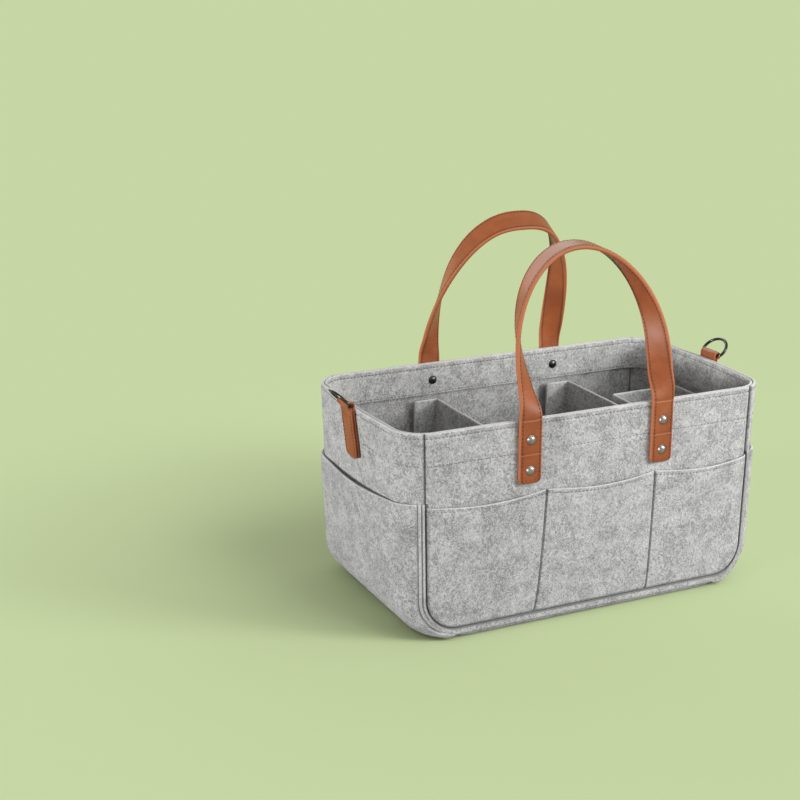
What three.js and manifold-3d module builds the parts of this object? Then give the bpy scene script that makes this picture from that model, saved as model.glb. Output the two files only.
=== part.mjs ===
// Felt diaper caddy with pockets, lift-out dividers, leather handles and two D-rings.
// Lengths are millimetres. +X runs along the caddy, +Y to its rear, +Z up.
// The origin is the middle of the floor's underside.

import * as THREE from 'three';
import { mergeVertices } from 'three/addons/utils/BufferGeometryUtils.js';
import Module from 'manifold-3d';

const wasm = await Module();
wasm.setup();

// Felt body
const bodyLength = 348;
const bodyDepth = 192;
const bodyHeight = 180;
const feltThickness = 3;
const endTaper = 5;
const endBow = 4;
const planRadius = 28;
const lowerCornerRadius = 38;
const floorEdgeRadius = 6;
const hemDepth = 30;
const hemThickness = 2.5;
const boardThickness = 2;

// Clearance between pieces that touch, and how far a cutting solid runs past what it cuts
const gap = 0.3;
const overrun = 10;

// Seams between the front or rear wall and the gusset, seen from the front
const endWrap = 18;
const seamLean = 2.5;
const seamHalfTop = bodyLength / 2 - endWrap;
const seamHalfFoot = seamHalfTop - seamLean;
const seamHeight = 11;
const seamRadius = 27;
const rollWidth = 5;
const rollThickness = 2.5;
const rollDrop = 59;
const rollTop = bodyHeight - rollDrop;

// Pockets on the front and rear walls, all stitched from one layer of felt. A drop is measured
// down from the rim, and a rise up from it
const wallPocketThickness = 2;
const wallPocketBulge = 7.5;
const wallPocketDrop = 62;
const wallPocketMouth = bodyHeight - wallPocketDrop;
const wallPocketSag = 4;
const stitchLeftTop = -46;
const stitchLeftFoot = -57;
const stitchRightTop = 59;
const stitchRightFoot = 54;
const bulgeRiseShare = 1.4;

// Pockets on the two ends, round the corners
const endPocketThickness = 3;
const endPocketBulge = 8;
const endPocketDropFront = 56;
const endPocketDropRear = 63;
const endPocketMouthFront = bodyHeight - endPocketDropFront;
const endPocketMouthRear = bodyHeight - endPocketDropRear;
const endPocketSag = 9;
const endPocketFoot = 0.5;

// Dividers that lift out
const dividerThickness = 3;
const dividerFoot = 6;
const dividerDrop = 33;
const dividerTop = bodyHeight - dividerDrop;
const leftCompartment = 119;
const boxCompartment = 77;
const dividerSpacing = 14;
const dividerLeftPlace = leftCompartment - bodyLength / 2;
const boxWingPlace = bodyLength / 2 - boxCompartment;
const dividerRightPlace = boxWingPlace - dividerSpacing;
const flangeLength = 22;
const boxRearPlace = 30;
const boxWingFront = -60;

// Hook and loop tape
const loopThickness = 2.5;
const hookThickness = 1.5;
const tapeWidth = 18;
const tapeFoot = 20;
const tapeDrop = 56;
const tapeTop = bodyHeight - tapeDrop;
const sideTapeFoot = 56;
const sideTapeFront = -54;
const sideTapeRear = -10;

// Leather handles
const strapWidth = 21;
const strapThickness = 3.6;
const legPlace = 63;
const legDrop = 53.5;
const legFoot = bodyHeight - legDrop;
const legCornerRadius = 5;
const hingeRise = 2;
const hingeHeight = bodyHeight + hingeRise;
const frontHandlePlace = 0;
const rearHandlePlace = 5;
const handlePlaces = { front: frontHandlePlace, rear: rearHandlePlace };
const frontArch = {
  spread: 2.5, shoulderRise: 48, crownRise: 129.5, crownPlace: 55, leanShare: 1, roundShare: 1,
  twist: THREE.MathUtils.degToRad(95), twistShare: 1.8,
};
const rearArch = {
  spread: 0, shoulderRise: 12, crownRise: 132.5, crownPlace: 48, leanShare: 1.5, roundShare: 0.8,
  twist: THREE.MathUtils.degToRad(130), twistShare: 1.15,
};
const shoulderShare = 0.25;
const twistStart = 22;
const twistEndShare = 0.95;

// Rivets
const lowerRivetDrop = 42;
const upperRivetDrop = 16;
const rivetHeights = [bodyHeight - lowerRivetDrop, bodyHeight - upperRivetDrop];
const headRadius = 4;
const headHeight = 1.8;
const shankRadius = 1.6;
const capHeight = 1.5;
const capRoof = 0.6;
const headRimShare = 0.3;

// Tabs and D-rings
const tabWidth = 22;
const tabThickness = 4;
const tabDrop = 43;
const tabFoot = bodyHeight - tabDrop;
const tabCornerRadius = 6;
const loopWall = 2;
const ringWireRadius = 1.4;
const ringHalfWidth = 15;
const ringReach = 20;
const ringCorner = 5;
const ringRise = 3;
const ringHeight = bodyHeight + ringRise;
const ringTilt = THREE.MathUtils.degToRad(45);

// Facets
const cornerFacets = 5;
const curveFacets = 6;
const sideFacets = 4;
const riseFacets = 3;
const pocketFacets = 6;
const archFacets = 40;
const footFacets = 12;
const rivetFacets = 10;
const ringFacets = 24;
const wireFacets = 6;

const quarterTurn = Math.PI / 2;
const lowerCentre = bodyLength / 2 - endTaper - lowerCornerRadius;
const planCentre = bodyLength / 2 - planRadius;
const depthCentre = bodyDepth / 2 - planRadius;

const felt = new THREE.MeshStandardMaterial({ color: 0xb9bab9, roughness: 0.95, metalness: 0 });
const innerFelt = new THREE.MeshStandardMaterial({ color: 0xa3a4a3, roughness: 0.95, metalness: 0 });
const tape = new THREE.MeshStandardMaterial({ color: 0x8e8f8e, roughness: 0.9, metalness: 0 });
const board = new THREE.MeshStandardMaterial({ color: 0x9a8f7d, roughness: 0.9, metalness: 0 });
const leather = new THREE.MeshStandardMaterial({ color: 0xaa5a37, roughness: 0.55, metalness: 0 });
const nickel = new THREE.MeshStandardMaterial({ color: 0xa7a5a2, roughness: 0.3, metalness: 1 });
const gunmetal = new THREE.MeshStandardMaterial({ color: 0x3a3b3e, roughness: 0.35, metalness: 1 });

const caddy = new THREE.Group();
caddy.name = 'diaper_caddy';

function add(name, shape, material) {
  const mesh = new THREE.Mesh(shape.isBufferGeometry ? shape : geometryOf(shape), material);
  mesh.name = name;
  caddy.add(mesh);
  return mesh;
}

// A closed geometry as a solid that can be joined and cut
function solid(geometry) {
  const bare = geometry.clone();
  bare.deleteAttribute('normal');
  bare.deleteAttribute('uv');
  const merged = mergeVertices(bare);
  return new wasm.Manifold(new wasm.Mesh({
    numProp: 3,
    vertProperties: merged.attributes.position.array,
    triVerts: new Uint32Array(merged.index.array),
  }));
}

function geometryOf(body) {
  const made = body.getMesh();
  const geometry = new THREE.BufferGeometry();
  geometry.setAttribute('position', new THREE.BufferAttribute(made.vertProperties, made.numProp));
  geometry.setIndex(new THREE.BufferAttribute(made.triVerts, 1));
  const flat = geometry.toNonIndexed();
  flat.computeVertexNormals();
  return flat;
}

// Moves every vertex of a geometry by a formula
function shaped(geometry, move) {
  const place = geometry.getAttribute('position');
  const point = new THREE.Vector3();
  for (let i = 0; i < place.count; i += 1) {
    point.fromBufferAttribute(place, i);
    move(point);
    place.setXYZ(i, point.x, point.y, point.z);
  }
  geometry.computeVertexNormals();
  return geometry;
}

function extruded(shape, depth, steps = 1) {
  return new THREE.ExtrudeGeometry(shape, { depth, steps, curveSegments: cornerFacets, bevelEnabled: false });
}

// Carries a strap's outline down its left edge, round its foot and to the start of its right edge
function roundedFoot(outline, half, foot, radius) {
  outline.lineTo(-half, foot + radius);
  outline.absarc(radius - half, foot + radius, radius, Math.PI, 3 * quarterTurn);
  outline.absarc(half - radius, foot + radius, radius, -quarterTurn, 0);
}

function roundHole(x, y, radius) {
  const circle = new THREE.EllipseCurve(x, y, radius, radius, 0, 2 * Math.PI, true);
  return new THREE.Path(circle.getPoints(rivetFacets).slice(1));
}

// A shape drawn in X and Z, made solid from one Y to another
function upright(shape, fromY, toY) {
  return extruded(shape, toY - fromY).rotateX(quarterTurn).translate(0, toY, 0);
}

// A box between two corners
function slab(low, high) {
  const size = high.clone().sub(low);
  const middle = low.clone().add(high).divideScalar(2);
  return new THREE.BoxGeometry(size.x, size.y, size.z).translate(middle.x, middle.y, middle.z);
}

// Body surface, grown by an offset

function halfLengthAt(height, offset = 0) {
  if (height < lowerCornerRadius) {
    const fall = lowerCornerRadius - height;
    return lowerCentre + Math.sqrt(Math.max(0, (lowerCornerRadius + offset) ** 2 - fall ** 2));
  }
  const rise = (Math.min(height, bodyHeight) - lowerCornerRadius) / (bodyHeight - lowerCornerRadius);
  return bodyLength / 2 - endTaper * (1 - rise) + offset;
}

function halfDepthAt(height, offset = 0) {
  if (height > floorEdgeRadius) return bodyDepth / 2 + offset;
  const fall = floorEdgeRadius - height;
  const reach = Math.sqrt(Math.max(0, (floorEdgeRadius + offset) ** 2 - fall ** 2));
  return bodyDepth / 2 - floorEdgeRadius + reach;
}

// How far the middle of an end wall leans out
function bowAt(y, height) {
  const across = Math.cos(quarterTurn * Math.min(1, Math.abs(y) / (bodyDepth / 2))) ** 2;
  const climb = Math.min(height, bodyHeight) - lowerCornerRadius;
  return endBow * across * Math.max(0, climb / (bodyHeight - lowerCornerRadius));
}

function wallDepthAt(x) {
  const past = Math.max(0, Math.abs(x) - planCentre);
  return depthCentre + Math.sqrt(planRadius ** 2 - Math.min(past, planRadius) ** 2);
}

function roundedPlan(halfLength, halfDepth, radius, sideSteps) {
  const plan = new THREE.Shape();
  const x = halfLength - radius;
  const y = halfDepth - radius;
  plan.absarc(-x, -y, radius, Math.PI, 3 * quarterTurn);
  plan.absarc(x, -y, radius, -quarterTurn, 0);
  for (let i = 1; i < sideSteps; i += 1) plan.lineTo(halfLength, y * (2 * i / sideSteps - 1));
  plan.absarc(x, y, radius, 0, quarterTurn);
  plan.absarc(-x, y, radius, quarterTurn, Math.PI);
  for (let i = 1; i < sideSteps; i += 1) plan.lineTo(-halfLength, y * (1 - 2 * i / sideSteps));
  plan.closePath();
  return plan;
}

// The body's outside grown by an offset, from its foot up to topAt(y) and straight on past it,
// with a further bulge at the ends
function bodyForm(offset, past = 0, topAt = () => bodyHeight, bulgeAt = () => 0) {
  const halfLength = bodyLength / 2 + offset;
  const halfDepth = bodyDepth / 2 + offset;
  const plan = roundedPlan(halfLength, halfDepth, planRadius + offset, sideFacets);
  const steps = curveFacets + riseFacets + (past > 0 ? 1 : 0);
  return shaped(extruded(plan, 1, steps), (p) => {
    const level = Math.round(p.z * steps);
    const step = Math.min(level, curveFacets + riseFacets);
    const turn = quarterTurn * step / curveFacets;
    const corner = lowerCornerRadius - (lowerCornerRadius + offset) * Math.cos(turn);
    const riseShare = (step - curveFacets) / riseFacets;
    p.z = step <= curveFacets ? corner : lowerCornerRadius + (topAt(p.y) - lowerCornerRadius) * riseShare;
    const outward = Math.sign(p.x);
    p.x += outward * (halfLengthAt(p.z, offset) - halfLength + bowAt(p.y, p.z) + bulgeAt(p.y, p.z));
    if (Math.abs(p.y) > depthCentre) p.y += Math.sign(p.y) * (halfDepthAt(p.z, offset) - halfDepth);
    if (level > step) p.z += past;
  });
}

// Seam outline grown by an amount, drawn in X and Z
function seamOutline(grow) {
  const outline = new THREE.Shape();
  const radius = seamRadius + grow;
  const top = seamHalfTop + grow;
  const foot = seamHalfFoot + grow;
  const low = seamHeight - grow;
  outline.moveTo(-top, bodyHeight + overrun);
  outline.lineTo(-top, bodyHeight);
  outline.absarc(radius - foot, low + radius, radius, Math.PI, 3 * quarterTurn);
  outline.absarc(foot - radius, low + radius, radius, -quarterTurn, 0);
  outline.lineTo(top, bodyHeight);
  outline.lineTo(top, bodyHeight + overrun);
  outline.closePath();
  return outline;
}

const faceOutside = -bodyDepth / 2 - planRadius;
const faceInside = planRadius - bodyDepth / 2;

function frontOf(outline) {
  return solid(upright(outline, faceOutside, faceInside));
}

function rivetHoles(fromY, toY, handlePlace, heights = rivetHeights) {
  const places = [handlePlace - legPlace, handlePlace + legPlace];
  const holes = heights.flatMap((height) => places.map((x) => {
    const hole = new THREE.CylinderGeometry(shankRadius + gap, shankRadius + gap, toY - fromY, rivetFacets);
    return solid(hole.translate(x, (fromY + toY) / 2, height));
  }));
  return holes.reduce((all, hole) => all.add(hole));
}

// Felt shell: front wall, rear wall and the gusset that makes both ends and the floor

function makeShell() {
  const shell = solid(bodyForm(0)).subtract(solid(bodyForm(-feltThickness, overrun)));
  const wall = shell.intersect(frontOf(seamOutline(0)));
  const holesAt = (handlePlace) => rivetHoles(-bodyDepth, -bodyDepth / 2 + planRadius, handlePlace);
  add('front_wall', geometryOf(wall.subtract(holesAt(frontHandlePlace))), felt);
  add('rear_wall', geometryOf(wall.subtract(holesAt(-rearHandlePlace))), felt).rotation.z = Math.PI;
  const seam = frontOf(seamOutline(gap));
  const rearSeam = solid(upright(seamOutline(gap), -faceInside, -faceOutside));
  add('gusset', shell.subtract(seam).subtract(rearSeam), felt);
}

function makeHem() {
  const outside = gap + feltThickness;
  const low = bodyHeight - hemDepth;
  const ring = solid(bodyForm(-outside)).subtract(solid(bodyForm(-outside - hemThickness, overrun)));
  const below = slab(
    new THREE.Vector3(-bodyLength, -bodyDepth, -overrun),
    new THREE.Vector3(bodyLength, bodyDepth, low),
  );
  const upper = rivetHeights.slice(1);
  const hem = ring.subtract(solid(below));
  const frontHoles = rivetHoles(-bodyDepth, 0, frontHandlePlace, upper);
  const rearHoles = rivetHoles(0, bodyDepth, rearHandlePlace, upper);
  add('rim_facing', hem.subtract(frontHoles).subtract(rearHoles), innerFelt);
}

function makeBoard() {
  const plan = roundedPlan(lowerCentre, bodyDepth / 2 - floorEdgeRadius, planRadius, 1);
  const plate = extruded(plan, boardThickness).translate(0, 0, feltThickness + gap);
  add('base_board', plate, board);
}

function makeEdgeRolls() {
  const skin = solid(bodyForm(gap + rollThickness)).subtract(solid(bodyForm(gap, overrun)));
  const band = frontOf(seamOutline(rollWidth)).subtract(frontOf(seamOutline(gap)));
  const above = slab(
    new THREE.Vector3(-bodyLength, -bodyDepth, rollTop),
    new THREE.Vector3(bodyLength, bodyDepth, bodyHeight + overrun * 2),
  );
  const roll = geometryOf(skin.intersect(band).subtract(solid(above)));
  add('front_edge_roll', roll, felt);
  add('rear_edge_roll', roll.clone(), felt).rotation.z = Math.PI;
}

// Three pockets from one layer, stitched down along two lines that lean inwards to the foot
function makeWallPockets() {
  const pockets = 3;
  const columns = pockets * pocketFacets;
  const box = new THREE.BoxGeometry(1, 1, 1, columns, 1, pocketFacets);
  const layer = shaped(box, (p) => {
    const column = Math.round((p.x + 0.5) * columns);
    const pocket = Math.min(pockets - 1, Math.floor(column / pocketFacets));
    const withinShare = column / pocketFacets - pocket;
    const riseShare = p.z + 0.5;
    const half = THREE.MathUtils.lerp(seamHalfFoot, seamHalfTop, riseShare);
    const lines = [
      -half,
      THREE.MathUtils.lerp(stitchLeftFoot, stitchLeftTop, Math.sqrt(riseShare)),
      THREE.MathUtils.lerp(stitchRightFoot, stitchRightTop, Math.sqrt(riseShare)),
      half,
    ];
    const x = THREE.MathUtils.lerp(lines[pocket], lines[pocket + 1], withinShare);
    const swell = Math.sin(Math.PI * withinShare);
    const mouth = wallPocketMouth - wallPocketSag * swell;
    const bulge = wallPocketBulge * swell * riseShare ** bulgeRiseShare;
    const y = wallDepthAt(x) + gap + bulge + wallPocketThickness * (0.5 - p.y);
    p.set(x, -y, seamHeight + gap + (mouth - seamHeight - gap) * riseShare);
  });
  const panel = geometryOf(solid(layer).intersect(frontOf(seamOutline(-gap))));
  add('front_pocket_panel', panel, felt);
  add('rear_pocket_panel', panel.clone(), felt).rotation.z = Math.PI;
}

// One layer round each end, open at the top and bulging away from the gusset at its mouth
function makeEndPockets() {
  const reach = bodyDepth / 2;
  const mouthAt = (y) => {
    const acrossShare = (y + reach) / (2 * reach);
    const level = THREE.MathUtils.lerp(endPocketMouthFront, endPocketMouthRear, acrossShare);
    return level - endPocketSag * Math.sin(Math.PI * acrossShare);
  };
  const bulgeAt = (y, height) => {
    const across = Math.cos(quarterTurn * Math.min(1, Math.abs(y) / reach)) ** 2;
    const riseShare = Math.max(0, (height - lowerCornerRadius) / (endPocketMouthRear - lowerCornerRadius));
    return endPocketBulge * across * riseShare ** bulgeRiseShare;
  };
  const outer = solid(bodyForm(gap + endPocketThickness, 0, mouthAt, bulgeAt));
  const inner = solid(bodyForm(gap, overrun, mouthAt, bulgeAt));
  const middle = solid(upright(seamOutline(rollWidth + gap), faceOutside, -faceOutside));
  const below = solid(slab(
    new THREE.Vector3(-bodyLength, -bodyDepth, -bodyHeight),
    new THREE.Vector3(bodyLength, bodyDepth, endPocketFoot),
  ));
  const rest = solid(slab(
    new THREE.Vector3(-lowerCentre, -bodyDepth, -bodyHeight),
    new THREE.Vector3(bodyLength, bodyDepth, bodyHeight),
  ));
  const pocket = geometryOf(outer.subtract(inner).subtract(middle).subtract(below).subtract(rest));
  add('left_end_pocket', pocket, felt);
  add('right_end_pocket', pocket.clone(), felt).scale.x = -1;
}

// Dividers. Their flanges stand off the walls by the thickness of the two tapes
const tapeStack = gap + loopThickness + gap + hookThickness + gap;
const flangeOutside = bodyDepth / 2 - feltThickness - tapeStack;
const flangeInside = flangeOutside - dividerThickness;

function dividerPlan(place) {
  const plan = new THREE.Shape();
  const right = place + dividerThickness / 2;
  const left = place - dividerThickness / 2;
  const end = left - flangeLength;
  plan.absarc(left, -flangeInside, dividerThickness, -quarterTurn, 0);
  plan.absarc(left, flangeInside, dividerThickness, 0, quarterTurn);
  plan.lineTo(end, flangeOutside);
  plan.lineTo(end, flangeInside);
  plan.lineTo(left, flangeInside);
  plan.lineTo(left, -flangeInside);
  plan.lineTo(end, -flangeInside);
  plan.lineTo(end, -flangeOutside);
  plan.closePath();
  return { plan, tapeCentre: (end + left) / 2, right };
}

// A strip of tape on a wall or on a flange: depth is counted in from the wall's inside face
function tapeStrip(centre, side, depth, thickness) {
  const face = bodyDepth / 2 - feltThickness - depth;
  const outer = Math.max(side * face, side * (face - thickness));
  const inner = Math.min(side * face, side * (face - thickness));
  return slab(
    new THREE.Vector3(centre - tapeWidth / 2, inner, tapeFoot),
    new THREE.Vector3(centre + tapeWidth / 2, outer, tapeTop),
  );
}

function addTapes(name, centre, side) {
  add(name + '_loop', tapeStrip(centre, side, gap, loopThickness), tape);
  add(name + '_hook', tapeStrip(centre, side, gap + loopThickness + gap, hookThickness), tape);
}

function makeDivider(name, place) {
  const { plan, tapeCentre } = dividerPlan(place);
  add(name, extruded(plan, dividerTop - dividerFoot).translate(0, 0, dividerFoot), innerFelt);
  addTapes(name + '_front', tapeCentre, -1);
  addTapes(name + '_rear', tapeCentre, 1);
}

// Moves a piece drawn against a straight end wall so that it follows the wall's taper and bow
function followEndWall(p) {
  if (p.x > boxWingPlace + flangeLength) p.x += halfLengthAt(p.z) - bodyLength / 2 + bowAt(p.y, p.z);
}

// The third divider is U-shaped: a wing, a rear panel, and a second wing along the right end
function makeBoxDivider() {
  const half = dividerThickness / 2;
  const rightOuter = bodyLength / 2 - feltThickness - tapeStack;
  const rightInner = rightOuter - dividerThickness;
  const wingLeft = boxWingPlace - half;
  const wingRight = boxWingPlace + half;
  const plan = new THREE.Shape();
  plan.moveTo(wingLeft, -flangeOutside);
  plan.lineTo(wingRight + flangeLength, -flangeOutside);
  plan.lineTo(wingRight + flangeLength, -flangeInside);
  plan.lineTo(wingRight, -flangeInside);
  plan.lineTo(wingRight, boxRearPlace - half);
  for (let i = 0; i <= sideFacets; i += 1) {
    plan.lineTo(rightInner, THREE.MathUtils.lerp(boxRearPlace - half, boxWingFront, i / sideFacets));
  }
  for (let i = 0; i <= sideFacets; i += 1) {
    plan.lineTo(rightOuter, THREE.MathUtils.lerp(boxWingFront, boxRearPlace + half, i / sideFacets));
  }
  plan.lineTo(wingLeft, boxRearPlace + half);
  plan.closePath();
  const walls = extruded(plan, dividerTop - lowerCornerRadius, riseFacets).translate(0, 0, lowerCornerRadius);
  const upper = solid(shaped(walls, followEndWall));
  const foot = solid(extruded(plan, lowerCornerRadius - dividerFoot).translate(0, 0, dividerFoot));
  const inside = solid(bodyForm(-feltThickness - gap * 2));
  const endWing = solid(slab(
    new THREE.Vector3(rightInner - endTaper, -bodyDepth, -overrun),
    new THREE.Vector3(bodyLength, bodyDepth, lowerCornerRadius),
  ));
  add('box_divider', upper.add(foot.subtract(endWing)).intersect(inside), innerFelt);
  addTapes('box_divider_front', boxWingPlace + half + flangeLength / 2, -1);
  addEndTape('box_divider_end_loop', gap, loopThickness);
  addEndTape('box_divider_end_hook', gap + loopThickness + gap, hookThickness);
}

function addEndTape(name, depth, thickness) {
  const face = bodyLength / 2 - feltThickness - depth;
  const length = sideTapeRear - sideTapeFront;
  const height = tapeTop - sideTapeFoot;
  const strip = new THREE.BoxGeometry(thickness, length, height, 1, sideFacets, 1);
  strip.translate(face - thickness / 2, (sideTapeRear + sideTapeFront) / 2, (tapeTop + sideTapeFoot) / 2);
  add(name, shaped(strip, followEndWall), tape);
}

// Handles. Each is one strap: two riveted legs outside the wall, and an arch that folds at the rim
// about its round feet
const strapInside = bodyDepth / 2 + gap;
const strapMiddle = strapInside + strapThickness / 2;
const strapOutside = strapInside + strapThickness;

function makeLegs() {
  const legTop = hingeHeight - strapThickness / 2 - gap;
  const half = strapWidth / 2;
  for (const [sideName, side] of [['front', -1], ['rear', 1]]) {
    for (const [endName, end] of [['left', -1], ['right', 1]]) {
      const outline = new THREE.Shape();
      outline.moveTo(-half, legTop);
      roundedFoot(outline, half, legFoot, legCornerRadius);
      outline.lineTo(half, legTop);
      outline.closePath();
      const leg = solid(upright(outline, -strapThickness / 2, strapThickness / 2));
      const holes = rivetHoles(-strapThickness, strapThickness, -end * legPlace);
      const mesh = add(`${sideName}_handle_${endName}_end`, leg.subtract(holes), leather);
      mesh.position.set(handlePlaces[sideName] + end * legPlace, side * strapMiddle, 0);
    }
  }
}

// Centre line of an arch, from its left foot to its right foot
class ArchCurve extends THREE.Curve {
  constructor(form, side, handlePlace) {
    super();
    this.form = form;
    this.side = side;
    this.handlePlace = handlePlace;
  }

  getPoint(t, target = new THREE.Vector3()) {
    const { spread, shoulderRise, crownRise, crownPlace, leanShare, roundShare } = this.form;
    const reach = legPlace + spread;
    const shoulder = bodyHeight + shoulderRise;
    const crown = bodyHeight + crownRise;
    const end = t < 0.5 ? -1 : 1;
    const riseShare = 1 - Math.abs(2 * t - 1);
    const foot = hingeHeight + gap;
    let x = reach;
    let z = foot;
    if (riseShare < shoulderShare) {
      const s = riseShare / shoulderShare;
      x = legPlace + (reach - legPlace) * (1 - Math.cos(Math.PI * s)) / 2;
      z = foot + (shoulder - foot) * s;
    } else {
      const turn = quarterTurn * (riseShare - shoulderShare) / (1 - shoulderShare);
      x = reach * Math.max(0, Math.cos(turn)) ** roundShare;
      z = shoulder + (crown - shoulder) * Math.sin(turn) ** roundShare;
    }
    const climb = (z - foot) / (crown - foot);
    const y = strapMiddle + (crownPlace - strapMiddle) * climb ** leanShare;
    return target.set(this.handlePlace + end * x, this.side * y, z);
  }
}

function makeArch(name, form, side, handlePlace) {
  const curve = new ArchCurve(form, side, handlePlace);
  curve.arcLengthDivisions = archFacets * archFacets;
  const strip = new THREE.BoxGeometry(1, 1, 1, archFacets, 1, 1);
  const lift = new THREE.Vector3(0, 1, 0);
  const arch = solid(shaped(strip, (p) => {
    const share = p.x + 0.5;
    const along = curve.getTangentAt(share);
    const across = new THREE.Vector3().crossVectors(lift, along).normalize();
    const facing = new THREE.Vector3().crossVectors(along, across);
    const centre = curve.getPointAt(share);
    const riseShare = Math.min(1, (1 - Math.abs(2 * share - 1)) / twistEndShare);
    const startShare = THREE.MathUtils.smoothstep(centre.z - hingeHeight, gap, gap + twistStart);
    const turn = form.twist * startShare * (1 - (1 - riseShare) ** form.twistShare);
    const wide = across.multiplyScalar(Math.cos(turn));
    wide.addScaledVector(facing, Math.sin(turn));
    const thick = new THREE.Vector3().crossVectors(along, wide);
    const width = p.y * strapWidth;
    const thickness = p.z * strapThickness;
    p.copy(centre).addScaledVector(wide, width).addScaledVector(thick, thickness);
  }));
  const feet = [handlePlace - legPlace, handlePlace + legPlace].map((x) => {
    const foot = new THREE.CylinderGeometry(strapThickness / 2, strapThickness / 2, strapWidth, footFacets);
    return solid(foot.rotateZ(quarterTurn).translate(x, side * strapMiddle, hingeHeight));
  });
  add(name, feet.reduce((all, foot) => all.add(foot), arch), leather);
}

// Rivets: a domed head and shank outside, and a domed cap over the shank's end inside

function rivetPost(length) {
  const rim = headHeight * headRimShare;
  const profile = new THREE.Path();
  profile.moveTo(0, -length);
  profile.lineTo(shankRadius, -length);
  profile.lineTo(shankRadius, 0);
  profile.lineTo(headRadius, 0);
  profile.lineTo(headRadius, rim);
  profile.absellipse(0, rim, headRadius, headHeight - rim, 0, quarterTurn);
  return new THREE.LatheGeometry(cleanProfile(profile), rivetFacets);
}

function rivetCap() {
  const rim = capHeight * headRimShare;
  const hole = shankRadius + gap;
  const profile = new THREE.Path();
  profile.moveTo(0, capHeight - capRoof);
  profile.lineTo(hole, capHeight - capRoof);
  profile.lineTo(hole, 0);
  profile.lineTo(headRadius, 0);
  profile.lineTo(headRadius, rim);
  profile.absellipse(0, rim, headRadius, capHeight - rim, 0, quarterTurn);
  return new THREE.LatheGeometry(cleanProfile(profile), rivetFacets);
}

// A lathe profile without repeated points, ending exactly on the axis
function cleanProfile(path) {
  const points = path.getPoints(1);
  const kept = points.filter((p, i) => i === 0 || p.distanceTo(points[i - 1]) > gap / 10);
  kept[kept.length - 1].x = 0;
  return kept;
}

function makeRivets() {
  const wallInside = bodyDepth / 2 - feltThickness;
  const backings = { lower: wallInside, upper: wallInside - gap - hemThickness };
  const levels = [['lower', rivetHeights[0]], ['upper', rivetHeights[1]]];
  for (const [sideName, side] of [['front', -1], ['rear', 1]]) {
    for (const [endName, end] of [['left', -1], ['right', 1]]) {
      for (const [levelName, height] of levels) {
        const backing = backings[levelName];
        const shank = strapOutside + gap - (backing - gap - capHeight + capRoof) - gap;
        const name = `${sideName}_${endName}_${levelName}`;
        const post = add(`${name}_rivet`, rivetPost(shank), nickel);
        const place = handlePlaces[sideName] + end * legPlace;
        post.position.set(place, side * (strapOutside + gap), height);
        const cap = add(`${name}_cap`, rivetCap(), nickel);
        cap.position.set(place, side * (backing - gap), height);
        post.rotation.x = side > 0 ? 0 : Math.PI;
        cap.rotation.x = side > 0 ? Math.PI : 0;
      }
    }
  }
}

// Tabs: a doubled leather strip up each end wall, looped at the top round the ring's straight bar
const ringHole = ringWireRadius + gap;
const tabLoopRadius = ringHole + loopWall;
const ringPlace = bodyLength / 2 + endBow + gap + tabLoopRadius;

function makeTabs() {
  const outline = new THREE.Shape();
  const start = Math.acos((tabThickness - tabLoopRadius) / tabLoopRadius);
  outline.moveTo(0, tabFoot);
  outline.lineTo(tabThickness, tabFoot);
  outline.absarc(tabLoopRadius, ringHeight, tabLoopRadius, -start, Math.PI);
  for (let i = 1; i < riseFacets; i += 1) {
    outline.lineTo(0, THREE.MathUtils.lerp(ringHeight, tabFoot, i / riseFacets));
  }
  outline.closePath();
  outline.holes.push(roundHole(tabLoopRadius, ringHeight, ringHole));
  const strip = shaped(upright(outline, -tabWidth / 2, tabWidth / 2), (p) => {
    p.x += halfLengthAt(p.z) + bowAt(0, p.z) + gap;
  });
  const face = new THREE.Shape();
  const half = tabWidth / 2;
  const top = ringHeight + tabLoopRadius + overrun;
  face.moveTo(-half, top);
  roundedFoot(face, half, tabFoot, tabCornerRadius);
  face.lineTo(half, top);
  face.closePath();
  const blank = solid(upright(face, 0, bodyLength).rotateZ(-quarterTurn));
  const tab = geometryOf(solid(strip).intersect(blank));
  add('right_tab', tab, leather);
  add('left_tab', tab.clone(), leather).scale.x = -1;
}

// Centre line of a D-ring: a straight bar along Y and a bow that reaches out from it
function ringOutline() {
  const path = new THREE.Shape();
  path.moveTo(ringCorner - ringHalfWidth, 0);
  path.lineTo(ringHalfWidth - ringCorner, 0);
  path.quadraticCurveTo(ringHalfWidth, 0, ringHalfWidth, ringCorner);
  path.absellipse(0, ringCorner, ringHalfWidth, ringReach - ringCorner, 0, Math.PI);
  path.quadraticCurveTo(-ringHalfWidth, 0, ringCorner - ringHalfWidth, 0);
  return path;
}

function makeRings() {
  const path = ringOutline();
  const radius = ringReach;
  const torus = new THREE.TorusGeometry(radius, ringWireRadius, wireFacets, ringFacets);
  const ring = shaped(torus, (p) => {
    const turn = Math.atan2(p.y, p.x) / (2 * Math.PI);
    const share = (turn + 1) % 1;
    const across = Math.hypot(p.x, p.y) - radius;
    const centre = path.getPointAt(share);
    const along = path.getTangentAt(share);
    const width = centre.x + along.y * across;
    const reach = centre.y - along.x * across;
    p.set(reach, width, -p.z);
  });
  ring.rotateY(-ringTilt).translate(ringPlace, 0, ringHeight);
  const closed = solid(ring);
  add('right_d_ring', closed, gunmetal);
  add('left_d_ring', geometryOf(closed), gunmetal).scale.x = -1;
}

makeShell();
makeHem();
makeBoard();
makeEdgeRolls();
makeWallPockets();
makeEndPockets();
makeDivider('divider_left', dividerLeftPlace);
makeDivider('divider_right', dividerRightPlace);
makeBoxDivider();
makeLegs();
makeArch('front_handle_arch', frontArch, -1, frontHandlePlace);
makeArch('rear_handle_arch', rearArch, 1, rearHandlePlace);
makeRivets();
makeTabs();
makeRings();

export default caddy;
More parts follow.
